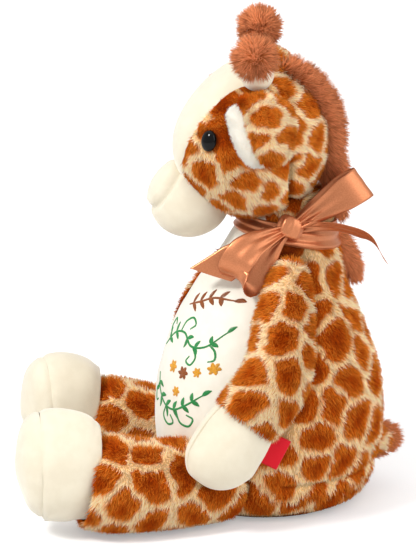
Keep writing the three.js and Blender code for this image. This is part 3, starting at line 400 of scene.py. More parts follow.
def blend_colours(tree, factor, a, b):
    """The colour that lies at factor between two colours or sockets."""
    return add(tree, "ShaderNodeMix", {0: factor, 6: a, 7: b}, data_type="RGBA").outputs[2]


def ranged(tree, value, low, high, out_low=0.0, out_high=1.0):
    """The value taken from one range to another, easing in and out."""
    ends = {"Value": value, "From Min": low, "From Max": high, "To Min": out_low, "To Max": out_high}
    return add(tree, "ShaderNodeMapRange", ends, interpolation_type="SMOOTHSTEP").outputs[0]


SPOT_EDGE_MM = (-1.0, 1.0)
SPOT_HEART_MM = (2.0, 10.0)
# Where the pile is short the fur is painted darker: painted shade in creases, seams, grooves and against the
# ground.
SHORT_PILE_PAINTED_SHADE = (0.1, 0.65, 0.4, 1.0)


def fur_shades():
    """Fur's colour: a dark root and a light tip as painted depth shade, spots, a random tone for each hair,
    and painted shade where the pile is short.
    """
    colours = ("Root", "Tip", "Spot root", "Spot tip", "Spot heart")
    values = ("Spotted", "Darkest", "Lightest")
    sockets = {**dict.fromkeys(colours, "Color"), **dict.fromkeys(values, "Float")}
    tree, given, done = new_tree("fur shades", "ShaderNodeTree", sockets, {"Colour": "Color"})

    def reading(name):
        return add(tree, "ShaderNodeAttribute", attribute_name=name).outputs["Fac"]

    # The root is darker than the tip: painted shade deep in the pile.
    along = ranged(tree, reading("along"), 0.0, 1.0)
    ground = blend_colours(tree, along, given["Root"], given["Tip"])
    spot = blend_colours(tree, along, given["Spot root"], given["Spot tip"])
    heart = blend_colours(tree, along, given["Spot heart"], given["Spot root"])
    spot = blend_colours(tree, ranged(tree, reading("spot"), *SPOT_HEART_MM), spot, heart)
    inside = number(tree, "MULTIPLY", ranged(tree, reading("spot"), *SPOT_EDGE_MM), given["Spotted"])
    colour = blend_colours(tree, inside, ground, spot)
    shade = ranged(tree, reading("shade"), 0.0, 1.0, given["Darkest"], given["Lightest"])
    # Painted shade: the colour darkens where the pile is short.
    light = number(tree, "MULTIPLY", shade, ranged(tree, reading("pile"), *SHORT_PILE_PAINTED_SHADE))
    tint = add(tree, "ShaderNodeHueSaturation", {"Value": light, "Color": colour})
    tree.links.new(tint.outputs[0], done["Colour"])
    return tree


fur_colours = fur_shades()


def fur_cloth(name, root, tip, darkest, lightest, spots=None):
    """Fur of one colour, or spotted fur; spots are the root, tip and heart colours of a spot."""
    made, tree, surface = cloth(name, 0.9, 0.0, 0.1)
    spot_root, spot_tip, spot_heart = spots or (root, tip, root)
    shades = add(tree, "ShaderNodeGroup", {
        "Root": paint(root), "Tip": paint(tip), "Spot root": paint(spot_root), "Spot tip": paint(spot_tip),
        "Spot heart": paint(spot_heart), "Spotted": 1.0 if spots else 0.0, "Darkest": darkest,
        "Lightest": lightest,
    }, node_tree=fur_colours)
    tree.links.new(shades.outputs["Colour"], surface.inputs["Base Color"])
    return made


# Each fur's root colour is darker than its tip colour, as painted shade deep in the pile.
spotted_fur = fur_cloth("spotted fur", "FFCE8C", "FFEBC6", 0.78, 1.3, ("BE4E00", "E68A2E", "9C3800"))
PLUSH_PILE = 5.5 * MM
PLUSH_HAIR = 0.8 * MM
SPOT_SPACING = 22.5 * MM
SPOT_GAP = 4.6 * MM


def spotted(ob, seed, spacing=SPOT_SPACING, gap=SPOT_GAP):
    """Marks the patches on a skin."""
    co, _ = corners_of(ob.data)
    put(ob.data, "spot", patches(co.astype(float), spacing, gap, seed))


def settle(ob, body, nodes, material=None):
    """Hands a finished piece to its body and the solids that it stands for."""
    if material:
        ob.data.materials.append(material)
    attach(ob, body)
    if nodes:
        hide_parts(*nodes)
    return ob


TORSO_HEIGHT = 217 * MM
NECK_BACK = 16 * MM
TORSO_HALF_WIDTH = 79 * MM
TORSO_HALF_DEPTH = 87 * MM
SPINE_SHARES = ((0, 0), (0, 0.33), (0.1, 0.6), (0.45, 0.8), (1, 1), (1.1, 1.14))
TORSO_ROWS = [
    (0, 0.7, 0.7), (0.026, 0.82, 0.82), (0.08, 0.91, 0.91), (0.176, 0.98, 0.975), (0.28, 1, 1),
    (0.386, 0.975, 0.975), (0.483, 0.905, 0.905), (0.605, 0.78, 0.765), (0.728, 0.6, 0.575),
    (0.816, 0.5, 0.47), (0.877, 0.443, 0.402), (0.93, 0.41, 0.37), (0.98, 0.25, 0.23), (1, 0, 0),
]
BACKWARDS = (0, 1, 0)
DOWN = (0, 0, -1)
torso_spine = [(0, back * NECK_BACK, up * TORSO_HEIGHT) for back, up in SPINE_SHARES]


def torso_rings(count):
    """The torso's form in that many rings, from the ground to the top of the neck."""
    return stuffed(torso_spine, TORSO_ROWS, TORSO_HALF_WIDTH, TORSO_HALF_DEPTH, BACKWARDS, count)


torso_form = torso_rings(118)
heights = torso_form[0][:, 2]
BELLY_TURN = math.radians(14)
BELLY_LOW_MM = [(24, 28), (30, 39), (42, 48), (65, 54.5)]
BELLY_LEFT_MM = [(108, 57), (140, 54.5), (165, 47), (190, 36), (212, 29), (226, 19), (252, 16)]
BELLY_RIGHT_MM = [(108, 56), (128, 50), (140, 39), (156, 31), (170, 29), (182, 36), (217, 29), (252, 28)]


def belly_half(edge):
    """The belly's half width at each ring, from (height, half width) in mm."""
    line = curve_through(with_guides(BELLY_LOW_MM + edge), 80) * MM
    return np.interp(heights, line[:, 0], line[:, 1])


left_half, right_half = belly_half(BELLY_LEFT_MM), belly_half(BELLY_RIGHT_MM)
fine = np.linspace(0, 2 * math.pi, 1441)
fine_points = ring_points(torso_form, fine)
across = fine_points[..., 0] * math.cos(BELLY_TURN) + fine_points[..., 1] * math.sin(BELLY_TURN)
ahead = -fine_points[..., 0] * math.sin(BELLY_TURN) + fine_points[..., 1] * math.cos(BELLY_TURN)
BELLY_COLUMNS = 64
FUR_COLUMNS = 92
belly_angles, fur_angles = [], []
for row in range(len(heights)):
    widest = 0.98 * across[row].max()
    left, right = min(left_half[row], widest), min(right_half[row], widest)
    chosen = fine[(ahead[row] < 0) & (across[row] < left) & (across[row] > -right)]
    if len(chosen) < 2:
        belly_angles.append(belly_angles[-1])
        fur_angles.append(fur_angles[-1])
        continue
    gaps = np.diff(chosen)
    low, high = chosen[0], chosen[-1]
    if gaps.max() > 0.5:
        cut = int(np.argmax(gaps))
        low, high = chosen[cut + 1] - 2 * math.pi, chosen[cut]
    belly_angles.append(np.linspace(low, high, BELLY_COLUMNS + 1))
    fur_angles.append(np.linspace(high, low + 2 * math.pi, FUR_COLUMNS + 1))
torso_fur_grid = ring_points(torso_form, np.array(fur_angles))
torso_front_grid = ring_points(torso_form, np.array(belly_angles))
BELLY_BOTTOM = 24 * MM
SEAT_TOP = 15 * MM
above_seat = int(np.searchsorted(heights, SEAT_TOP))
above_belly = int(np.searchsorted(heights, BELLY_BOTTOM))


def ring_mask(columns, low, high=None):
    """Which quads of a torso grid are kept: those from one ring to another."""
    mask = np.zeros((len(heights) - 1, columns), bool)
    mask[low:high] = True
    return mask


NECK_SEAM, NECK_HIDDEN, NECK_RUN = 213.5 * MM, 7 * MM, 8 * MM
HIP_SEAM, HIP_SEAM_FRONT = 31 * MM, -10 * MM
BORDER_RUN, BORDER_FIXED = 12 * MM, 0.3
ARM_DENT_MM, ARM_DENT_REACH = 9, 13 * MM
LEG_DENT_MM, LEG_DENT_REACH = 6, 6 * MM
SEAM_DENT_MM, SEAM_DENT_REACH = 3, 2.5 * MM
TORSO_INSIDE = (0, 0, 0.1)

torso_fur = skin("torso_fur", [
    (torso_fur_grid, False, ring_mask(FUR_COLUMNS, above_seat)),
    (torso_front_grid, False, ring_mask(BELLY_COLUMNS, above_seat, above_belly)),
])
outwards(torso_fur, TORSO_INSIDE)
spotted(torso_fur, 3)
torso_points, _ = corners_of(torso_fur.data)
neck_away = np.abs(torso_points[:, 2] - NECK_SEAM)
arms_away = beside(torso_points, ["arm_skin_left", "arm_skin_right"])
legs_away = beside(torso_points, ["leg_skin_left", "leg_skin_right"])
hip_away = np.abs(torso_points[:, 2] - HIP_SEAM) + np.clip(HIP_SEAM_FRONT - torso_points[:, 1], 0, None)
border_away = beside(torso_points, ["belly_panel", "seat_panel"])
from_border = np.clip(border_away / BORDER_RUN - BORDER_FIXED, 0, 1)
pressed(torso_fur, arms_away, from_border * ARM_DENT_MM * MM, ARM_DENT_REACH)
pressed(torso_fur, legs_away, from_border * LEG_DENT_MM * MM, LEG_DENT_REACH)
pressed(torso_fur, hip_away, from_border * SEAM_DENT_MM * MM, SEAM_DENT_REACH)
# The short pile behind the arms, beside the legs, under the bow at the neck and along the hip seam also
# paints the fur darker there: painted shade. Behind the arms it reaches wider than the dent, as a painted
# shadow of the sleeve.
torso_pile = np.minimum.reduce([
    np.clip(np.minimum(arms_away / 30, legs_away / 9) / MM, 0.12, 1),
    np.clip((neck_away - NECK_HIDDEN) / NECK_RUN, 0.12, 1),
    np.clip(hip_away / (5 * MM), 0.35, 1),
])
coat(torso_fur, spotted_fur, 57000, PLUSH_PILE, PLUSH_HAIR, DOWN, seed=1, pile=torso_pile)
settle(torso_fur, "torso", ["torso_skin", "torso_filling", "neck_filling"])

# The belly is one panel of ivory velour sewn into the front of the torso.
# Its nap is under a millimetre, so it shades softly and shows the dents of the stuffing.
MOTTLE_PER_M, GRAIN_PER_M = 90, 1400
NAP_HEIGHT = 0.4 * MM


def velour_nap():
    """Short-napped cloth: a soft mottle of two near tones, and a fine grain that stands up a little."""
    tree, given, done = new_tree(
        "velour nap", "ShaderNodeTree", {"Tone": "Color", "Shadow": "Color"},
        {"Colour": "Color", "Normal": "Vector"},
    )
    place = add(tree, "ShaderNodeTexCoord").outputs["Object"]
    mottle = add(tree, "ShaderNodeTexNoise", {"Scale": MOTTLE_PER_M, "Detail": 5, "Vector": place})
    shade = ranged(tree, mottle.outputs[0], 0.3, 0.7)
    tree.links.new(blend_colours(tree, shade, given["Shadow"], given["Tone"]), done["Colour"])
    grain = add(tree, "ShaderNodeTexNoise", {"Scale": GRAIN_PER_M, "Detail": 3, "Vector": place})
    bump = add(tree, "ShaderNodeBump", {
        "Strength": 0.35, "Distance": NAP_HEIGHT, "Height": grain.outputs[0],
    })
    tree.links.new(bump.outputs[0], done["Normal"])
    return tree


nap = velour_nap()


def velour_cloth(name, tone, shadow):
    """Velour in two near tones, with a bright edge."""
    made, tree, surface = cloth(name, 0.9, 0.6)
    placed = add(tree, "ShaderNodeGroup", {"Tone": paint(tone), "Shadow": paint(shadow)}, node_tree=nap)
    tree.links.new(placed.outputs["Colour"], surface.inputs["Base Color"])
    tree.links.new(placed.outputs["Normal"], surface.inputs["Normal"])
    return made


cream_velour = velour_cloth("cream velour", "DED5BF", "D9CFB8")
ivory_velour = velour_cloth("ivory velour", "E9E5D8", "E4E0D2")


def dented(ob, size, depth, seed):
    """Soft dents of the stuffing under the cloth."""
    co, no = corners_of(ob.data)
    away = np.array([noise.noise(Vector(p) / size + Vector((seed, 0, 0))) for p in co])
    return reshaped(ob, co + no * (away * depth)[:, None])


belly = skin("belly_velour", [(torso_front_grid, False, ring_mask(BELLY_COLUMNS, above_belly - 1))])
outwards(belly, TORSO_INSIDE)
dented(belly, 26 * MM, 1.2 * MM, 4)
settle(belly, "torso", ["belly_panel"], ivory_velour)

# The belly carries a machine-embroidered spray of leaves and small flowers in satin stitch.
# Each stroke is a row of thread stitches laid across it, a third of a millimetre apart.
STITCH_STEP = 0.32 * MM
THREAD_WIDTH = 0.42 * MM
THREAD_LIFT = 0.25 * MM
STITCH_OVER = 0.3 * MM
RAGGED_MM, SLANT_MM = 0.12, 0.12
THREAD_SHADES = 0.12
PETAL_BOW = 0.08
PETAL_SHARES = (0.15, 0.45, 0.6, 0.55, 0.2)
STITCH_ROWS = (
    (-0.5, 0.5, -1.1), (-0.44, 0.9, -0.35), (-0.2, 1, 0.1),
    (0.2, 1, 0.1), (0.44, 0.9, -0.35), (0.5, 0.5, -1.1),
)


def circle(count):
    """That many angles, evenly spaced round a full turn."""
    return np.linspace(0, 2 * math.pi, count + 1)[:-1]


def stitch_tree():
    """A stitch of thread on each point, along the point's way and standing on its out direction."""
    tree, given, done = new_tree("rows of stitches", "GeometryNodeTree", {
        "Points": "Geometry", "Stitch": "Object", "Thread": "Material", "Thickness": "Float",
    }, {"Embroidery": "Geometry"})
    align = "FunctionNodeAlignRotationToVector"
    along = add(tree, align, {"Vector": stored(tree, "way", "FLOAT_VECTOR")}, axis="X")
    standing = add(tree, align, {
        "Rotation": along.outputs[0], "Vector": stored(tree, "out", "FLOAT_VECTOR"),
    }, axis="Z", pivot_axis="X")
    size = add(tree, "ShaderNodeCombineXYZ", {
        0: stored(tree, "reach", "FLOAT"), 1: given["Thickness"], 2: given["Thickness"],
    })
    stitch = add(tree, "GeometryNodeObjectInfo", {"Object": given["Stitch"]})
    sewn = add(tree, "GeometryNodeInstanceOnPoints", {
        "Points": given["Points"], "Instance": stitch.outputs["Geometry"], "Rotation": standing.outputs[0],
        "Scale": size.outputs[0],
    })
    real = add(tree, "GeometryNodeRealizeInstances", {0: sewn.outputs["Instances"]})
    thread = add(tree, "GeometryNodeSetMaterial", {"Geometry": real.outputs[0], "Material": given["Thread"]})
    tree.links.new(thread.outputs[0], done["Embroidery"])
    return tree


stitch_grid = np.array([
    [(x, r * math.cos(a) / 2, r * math.sin(a) / 2 + dip) for a in circle(5)] for x, r, dip in STITCH_ROWS
])
start, end = (np.broadcast_to(ring.mean(axis=0), (1, 5, 3)) for ring in (stitch_grid[0], stitch_grid[-1]))
one_stitch = skin("one_stitch", [(np.concatenate([start, stitch_grid, end]), True, None)])
belly_solid = solid_of(belly.data)
belly_across = Vector((math.cos(BELLY_TURN), math.sin(BELLY_TURN), 0))
belly_ahead = Vector((math.sin(BELLY_TURN), -math.cos(BELLY_TURN), 0))


def on_belly(across_mm, up_mm):
    """The place on the belly, and its outward direction, in front of a point given in mm."""
    start = belly_across * across_mm * MM + belly_ahead * 0.3 + Vector((0, 0, up_mm * MM))
    place, normal, _, _ = belly_solid.ray_cast(start, -belly_ahead)
    return np.array(place), np.array(normal)


def stem(points, width):
    """A stroke of one width, which narrows at its ends."""
    return points, [0.5 * width, width, width, width, 0.5 * width]


def petal(start, angle, reach, width):
    """A leaf or petal shaped stroke from a start, in degrees from the right."""
    turn = math.radians(angle)
    tip = (start[0] + reach * math.cos(turn), start[1] + reach * math.sin(turn))
    middle = (
        (start[0] + tip[0]) / 2 - PETAL_BOW * (tip[1] - start[1]),
        (start[1] + tip[1]) / 2 + PETAL_BOW * (tip[0] - start[0]),
    )
    return [start, middle, tip], [0.6, 0.8 * width, width, 0.7 * width, 0.5]


def blossom(at, reach):
    """A small flower of six equal petals."""
    widths = [share * reach for share in PETAL_SHARES]
    return [(petal(at, 60 * k, reach, 0)[0], widths) for k in range(6)]


def sprig(line, places, reach, width, spread, stem_width=1.3):
    """A stem with a pair of leaves at each place along it and one leaf at its tip."""
    bent = curve_through(with_guides(line), 101)
    strokes = [stem(line, stem_width)]
    for share in places:
        at = int(share * 100)
        onward = bent[min(at + 3, 100)] - bent[max(at - 3, 0)]
        heading = math.degrees(math.atan2(onward[1], onward[0]))
        for turn in (spread, -spread):
            strokes.append(petal(tuple(bent[at]), heading + turn, reach * (1 - 0.35 * share), width))
    onward = bent[-1] - bent[-5]
    heading = math.degrees(math.atan2(onward[1], onward[0]))
    strokes.append(petal(tuple(bent[-1]), heading, 0.8 * reach, width))
    return strokes


BROWN, GREEN, GOLD = "8E4A12", "1C8842", "D89A1E"
design = (
    (BROWN, sprig([(-9, 158), (4, 163), (16, 168), (30, 168)], (0.12, 0.33, 0.54, 0.75), 8.5, 3.2, 52)),
    (GREEN, sprig(
        [(-26, 124), (-14, 136), (0, 139), (12, 132), (25, 134), (36, 146)],
        (0.1, 0.24, 0.5, 0.66, 0.84), 8, 3.0, 58,
    )),
    (GREEN, [
        stem([(-6, 139), (-3, 147), (4, 151), (9, 147), (5, 143)], 1.2),
        stem([(14, 132), (20, 125), (17, 119), (12, 121), (14, 125)], 1.2),
        stem([(-20, 131), (-26, 138), (-23, 144), (-18, 141)], 1.2),
        stem([(27, 136), (33, 132), (35, 126), (31, 124)], 1.2),
    ]),
    (GOLD, blossom((-1, 114), 4.6) + blossom((37, 120), 4.6) + blossom((25, 115), 3.6)),
    (BROWN, blossom((12, 112), 4.8)),
    (GREEN, sprig(
        [(-22, 104), (-16, 92), (-5, 84), (8, 83), (20, 89), (33, 99)],
        (0.1, 0.26, 0.42, 0.58, 0.72, 0.86), 9.5, 3.4, 55,
    )),
    (GREEN, [
        stem([(-3, 83.5), (-6, 75), (1, 70), (8, 73), (4, 78)], 1.3),
        stem([(11, 83.5), (16, 75), (25, 74), (28, 80), (22, 82)], 1.3),
        stem([(-18, 95), (-26, 90), (-24, 82), (-19, 84)], 1.3),
    ]),
    (GOLD, blossom((8, 97), 3.8)),
)
rng = np.random.default_rng(8)
stitches = []
for colour, strokes in design:
    for line, widths in strokes:
        reach = np.linalg.norm(np.diff(np.array(line, float), axis=0), axis=1).sum() * MM
        path = curve_through(with_guides(line), max(int(reach / STITCH_STEP), 8))
        heading = np.gradient(path, axis=0)
        heading /= np.linalg.norm(heading, axis=1)[:, None]
        widths = np.interp(np.linspace(0, 1, len(path)), np.linspace(0, 1, len(widths)), widths)
        for at, way, width in zip(path, heading, widths):
            half = width / 2 + rng.uniform(0, RAGGED_MM)
            aside = np.array([-way[1], way[0]]) * half + way * SLANT_MM
            one, one_out = on_belly(*(at - aside))
            other, other_out = on_belly(*(at + aside))
            out = one_out + other_out
            out /= np.linalg.norm(out)
            tint = 1 + rng.uniform(-THREAD_SHADES, THREAD_SHADES)
            stitches.append((
                (one + other) / 2 + out * THREAD_LIFT, other - one, out,
                np.linalg.norm(other - one) + STITCH_OVER, np.array(paint(colour)[:3]) * tint,
            ))
places, *values = zip(*stitches)
stitch_points = bpy.data.meshes.new("stitch points")
stitch_points.from_pydata([tuple(place) for place in places], [], [])
for name, each in zip(("way", "out", "reach", "thread"), values):
    put(stitch_points, name, each)
embroidery = linked("belly_embroidery", stitch_points)
rayon, rayon_tree, rayon_surface = cloth("embroidery thread", 0.38, 0.1, 0.45)
thread_colour = add(rayon_tree, "ShaderNodeAttribute", attribute_name="thread").outputs["Color"]
rayon_tree.links.new(thread_colour, rayon_surface.inputs["Base Color"])
grown_mesh(embroidery, stitch_tree(), {"Stitch": one_stitch, "Thread": rayon, "Thickness": THREAD_WIDTH})
embroidery.data.shade_smooth()
settle(embroidery, "torso", [])
bpy.data.objects.remove(one_stitch)

# The seat is a round panel of the same spotted plush, pressed flat by the toy's weight.
# It is sewn to the torso a little above the ground, and its pile is crushed underneath.
GROUND_CLEAR = 1 * MM


def bag(name, grid, inside, place=Matrix()):
    """A skin from one grid that wraps round, moved to its place, with its faces away from inside."""
    ob = skin(name, [(turned(grid, place), True, None)])
    return outwards(ob, turned(np.asarray(inside, float), place))


seat_side = ring_points([part[: above_seat + 1] for part in torso_form], circle(144))
seat_floor = seat_side[0][None] * np.linspace(0, 1, 24)[:, None, None]
seat = bag("seat_fur", np.concatenate([seat_floor, seat_side[1:]]), (0, 0, 0.05))
seat_points, _ = corners_of(seat.data)
spotted(seat, 5)
# Near the ground the crushed pile is also painted darker: painted shade under the toy.
seat_pile = np.clip((seat_points[:, 2] - GROUND_CLEAR) / (12 * MM), 0.08, 1)
coat(seat, spotted_fur, 16000, PLUSH_PILE, PLUSH_HAIR, DOWN, seed=2, pile=seat_pile)
settle(seat, "torso", ["seat_panel"])

# The legs are tubes of spotted plush that lie on the ground, each ending in a tall velour foot
# with a sole sewn round its edge. They are stuffed firmly and set a little apart.
THIGH_RADIUS = 35 * MM
LEG_LENGTH = 90 * MM
THIGH_FLATTENED = 0.13
LEG_IN_FOOT, LEG_OFF_GROUND = 3 * MM, 0.4 * MM
LEG_ROWS = [
    (0, 0, 0), (0.06, 0.62, 0.62), (0.16, 0.92, 0.92), (0.28, 1, 1), (0.6, 1, 1), (0.78, 1.02, 1.02),
    (0.87, 0.97, 0.98), (0.92, 0.9, 0.93), (1, 0.82, 0.84),
]
ANKLE_RISE = 7 * MM
ANKLE_LEAN = math.radians(9)
FOOT_RISE = 20 * MM
FOOT_DEPTH = 57 * MM
FOOT_HALF_WIDTH = 33 * MM
FOOT_HALF_HEIGHT = 43 * MM
FOOT_ROWS = [
    (0, 0.72, 0.74), (0.17, 0.82, 0.82), (0.3, 0.93, 0.92), (0.49, 1, 1), (0.7, 0.97, 0.97),
    (0.85, 0.82, 0.81), (0.93, 0.55, 0.53), (1, 0, 0),
]
HEEL_DROP, INSTEP_DROP = 13 * MM, 6 * MM
SOLE_DEPTH = 20 * MM
SOLE_SEAM_SHARE, SOLE_SEAM_HALF = 0.038, 1.5 * MM
LAP = 12 * MM
UP = (0, 0, 1)


def pinched(form, at, depth, reach):
    """A stuffed form drawn in along a seam, at a place on its axis given by ring number."""
    middles, wide, deep = form
    steps = np.r_[0, np.cumsum(np.linalg.norm(np.diff(middles, axis=0), axis=1))]
    draw = 1 - depth * np.exp(-(((steps - steps[at]) / reach) ** 2))
    return middles, wide * draw[:, None], deep * draw[:, None]


for name, across_hip, forward, yaw, toe, side in (
    ("left", 46, 60, 5, -12, 1), ("right", -66, 32, -13, 14, -1)
):
    hip = Matrix.Translation((across_hip * MM, -forward * MM, 0)) @ Matrix.Rotation(math.radians(yaw), 4, "Z")
    ankle = np.array([0, -LEG_LENGTH, THIGH_RADIUS + ANKLE_RISE])
    leg_spine = [
        (0, THIGH_RADIUS, THIGH_RADIUS), (0, 0, THIGH_RADIUS),
        (side * ANKLE_RISE / 2, -LEG_LENGTH / 2, THIGH_RADIUS),
        (0, -LEG_LENGTH - LAP, THIGH_RADIUS + ANKLE_RISE),
    ]
    leg_form = stuffed(leg_spine, LEG_ROWS, THIGH_RADIUS, THIGH_RADIUS, UP, 74)
    leg_grid = ring_points(leg_form, circle(96))
    bend = Matrix.Rotation(math.radians(toe) / 2, 4, "Z") @ Matrix.Rotation(-ANKLE_LEAN, 4, "X")
    plane = np.array(bend.to_3x3() @ Vector((0, -1, 0)))
    past = (leg_grid - ankle) @ plane
    leg_grid = leg_grid - np.maximum(past - LEG_IN_FOOT, 0)[..., None] * plane
    leg_grid[..., 2] *= 1 - THIGH_FLATTENED * np.clip(1 + leg_grid[..., 1] / LEG_LENGTH, 0, 1)
    leg_grid[..., 2] = np.maximum(leg_grid[..., 2], LEG_OFF_GROUND)
    leg = bag("leg_fur_" + name, leg_grid, (0, -LEG_LENGTH / 2, THIGH_RADIUS), hip)
    leg_points, _ = corners_of(leg.data)
    spotted(leg, 11 + side)
    brushed = np.array(hip.to_3x3() @ Vector((0, -0.5, -0.8)))
    # Near the ground and against the paw and the torso the short pile is also painted darker: painted shade.
    pile = np.minimum(
        np.clip((leg_points[:, 2] - GROUND_CLEAR) / (10 * MM), 0.08, 1),
        np.clip(beside(leg_points, ["paw_" + name, "torso_skin"]) / (6 * MM), 0.2, 1),
    )
    coat(leg, spotted_fur, 30000, PLUSH_PILE, PLUSH_HAIR, brushed, seed=20 + side, pile=pile)
    settle(leg, "leg_" + name, ["leg_skin_" + name, "leg_filling_" + name])

    toe_at = Matrix.Translation((0, -LEG_LENGTH, FOOT_RISE + THIGH_RADIUS))
    turn_toe = toe_at @ Matrix.Rotation(math.radians(toe), 4, "Z")
    foot_spine = [
        (0, LAP, -HEEL_DROP), (0, -FOOT_DEPTH / 6, -INSTEP_DROP),
        (0, -FOOT_DEPTH / 2, 0), (0, -FOOT_DEPTH, 0),
    ]
    foot_form = stuffed(foot_spine, FOOT_ROWS, FOOT_HALF_WIDTH, FOOT_HALF_HEIGHT, UP, 64)
    seam_ring = int(np.argmin(np.abs(foot_form[0][:, 1] + FOOT_DEPTH - SOLE_DEPTH)))
    foot_form = pinched(foot_form, seam_ring, SOLE_SEAM_SHARE, SOLE_SEAM_HALF)
    foot_grid = turned(ring_points(foot_form, circle(96)), turn_toe)
    behind = (foot_grid - ankle) @ plane
    foot_grid = turned(foot_grid - np.minimum(behind, 0)[..., None] * plane, hip)
    heel = foot_grid[0].mean(axis=0)
    heel_cap = heel + (foot_grid[0] - heel)[None] * np.linspace(0, 1, 8)[:, None, None]
    inside = turned(np.array([0, -LEG_LENGTH - FOOT_DEPTH / 3, FOOT_RISE + THIGH_RADIUS]), hip)
    for piece, node, grid in (
        ("foot_velour_", "foot_", np.concatenate([heel_cap[:-1], foot_grid[: seam_ring + 1]])),
        ("sole_velour_", "sole_", foot_grid[seam_ring:]),
    ):
        part = dented(bag(piece + name, grid, inside), 22 * MM, 1.0 * MM, 7 * side)
        settle(part, "leg_" + name, [node + name], cream_velour)

# The arms hang from the shoulders: a spotted sleeve, sewn across at the cuff to a velour paw
# of two pieces, so that a seam runs round the paw's edge.
ARM_TURN = Matrix.Rotation(math.radians(-5), 4, "Z")
SLEEVE_HALF_WIDTH, SLEEVE_HALF_DEPTH = 24 * MM, 17.5 * MM
SLEEVE_SQUARE = 0.6
SLEEVE_ROWS = [
    (0, 0, 0), (0.03, 0.32, 0.42), (0.1, 0.52, 0.66), (0.3, 0.78, 0.93), (0.5, 0.9, 1.03), (0.8, 1, 1.05),
    (1, 0.96, 1),
]
PAW_HALF_LENGTH, PAW_HALF_WIDTH, PAW_HALF_DEPTH = 25.5 * MM, 27.5 * MM, 17 * MM
PAW_ROWS = [
    (0, 0.8, 0.9), (0.25, 0.94, 1), (0.5, 1, 1), (0.72, 0.98, 0.93), (0.88, 0.78, 0.68), (0.95, 0.54, 0.42),
    (1, 0, 0),
]
PAW_SEAM = math.radians(17)
PAW_SEAM_SHARE, PAW_SEAM_HALF = 0.075, 0.035
for name, side, hand in (("left", 1, (95, 54, 61.5)), ("right", -1, (104, 38, 80))):
    shoulder, elbow, wrist, swell, palm, tip = (
        np.array([side * across, -forward, height]) * MM
        for across, forward, height in ((40, -9, 196), (89, 10, 122), hand, (6, 0, 0), (0, -2, 0), (0, -9, 0))
    )
    cuff = (elbow + wrist) / 2
    way = (wrist - elbow) / np.linalg.norm(wrist - elbow)
    sleeve_spine = [
        shoulder, shoulder * 0.75 + elbow * 0.25 + swell, (shoulder + elbow) / 2 + swell, elbow,
        cuff + way * LAP,
    ]
    arm_form = stuffed(sleeve_spine, SLEEVE_ROWS, SLEEVE_HALF_WIDTH, SLEEVE_HALF_DEPTH, (side, 0, 0), 76)
    line_end = arm_form[0][-1] - arm_form[0][-4]
    way = line_end / np.linalg.norm(line_end)
    round_arm = circle(80)
    blunt = (np.abs(np.cos(round_arm)) ** 3 + np.abs(np.sin(round_arm)) ** 3) ** (-1 / 3)
    middle = arm_form[0][:, None]
    arm_grid = ring_points(arm_form, round_arm)
    arm_grid = middle + (arm_grid - middle) * (1 + (blunt - 1) * SLEEVE_SQUARE)[None, :, None]
    past = (arm_grid - cuff) @ way
    arm_grid = arm_grid - np.maximum(past, 0)[..., None] * way
    sleeve = bag("sleeve_fur_" + name, arm_grid, (shoulder + elbow) / 2, ARM_TURN)
    spotted(sleeve, 31 + side, 19.5 * MM, 4 * MM)
    brushed = turned(way * 0.8, ARM_TURN)
    coat(sleeve, spotted_fur, 26000, PLUSH_PILE, PLUSH_HAIR, brushed, lift=0.9, seed=40 + side)
    settle(sleeve, "arm_" + name, ["arm_skin_" + name, "arm_filling_" + name])
    paw_spine = [cuff - way * LAP, wrist + palm, wrist + way * PAW_HALF_LENGTH + tip]
    paw_form = stuffed(paw_spine, PAW_ROWS, PAW_HALF_WIDTH, PAW_HALF_DEPTH, (side, 0, 0), 60)
    round_paw = circle(360)
    middle = paw_form[0][:, None]
    seam_away = np.minimum(np.abs(round_paw - PAW_SEAM), np.abs(round_paw - math.pi + PAW_SEAM))
    edge_seam = np.exp(-((seam_away / PAW_SEAM_HALF) ** 2))
    drawn = (1 - PAW_SEAM_SHARE * edge_seam)[None, :, None]
    paw_grid = middle + (ring_points(paw_form, round_paw) - middle) * drawn
    paw = dented(bag("paw_velour_" + name, paw_grid, wrist, ARM_TURN), 20 * MM, 0.9 * MM, 13 * side)
    settle(paw, "arm_" + name, ["paw_" + name], cream_velour)

# The head is a round stuffed ball of spotted plush with a cream blaze from the muzzle to the horns.
# It sits turned and tipped on the neck, and the blaze is a panel sewn along both its edges.
HEAD_TURN, HEAD_TILT = math.radians(-14), math.radians(12)
head_place = (
    Matrix.Translation((0, NECK_BACK, TORSO_HEIGHT))
    @ Matrix.Rotation(HEAD_TURN, 4, "Z")
    @ Matrix.Rotation(HEAD_TILT, 4, "Y")
)
HEAD_MIDDLE_MM = np.array([0, -29.5, 69])
HEAD_HALF_MM = np.array([53, 56, 59])
HEAD_MIDDLE, HEAD_HALF = HEAD_MIDDLE_MM * MM, HEAD_HALF_MM * MM
FOREHEAD_WAY, FOREHEAD_FLAT, FOREHEAD_REACH = np.array([0, -0.72, 0.69]), 7.5 * MM, 0.16
BLAZE_HALF = 24 * MM
BLAZE_SWELL = 7 * MM
BLAZE_NARROWS = 7 * MM
BLAZE_BULGE = 3.5 * MM
EYE_PATCH_MM = 13
EAR_DENT, EAR_DENT_REACH = 7 * MM, 8 * MM
GUSSET_DENT, GUSSET_DENT_REACH = 5 * MM, 3 * MM
blaze_share = BLAZE_HALF / HEAD_HALF[0]
slant = np.concatenate([
    np.linspace(-1, -blaze_share, 30)[:-1],
    np.linspace(-blaze_share, blaze_share, 27)[:-1],
    np.linspace(blaze_share, 1, 30),
])
BLAZE_LOW, BLAZE_HIGH = math.radians(216), math.radians(94)
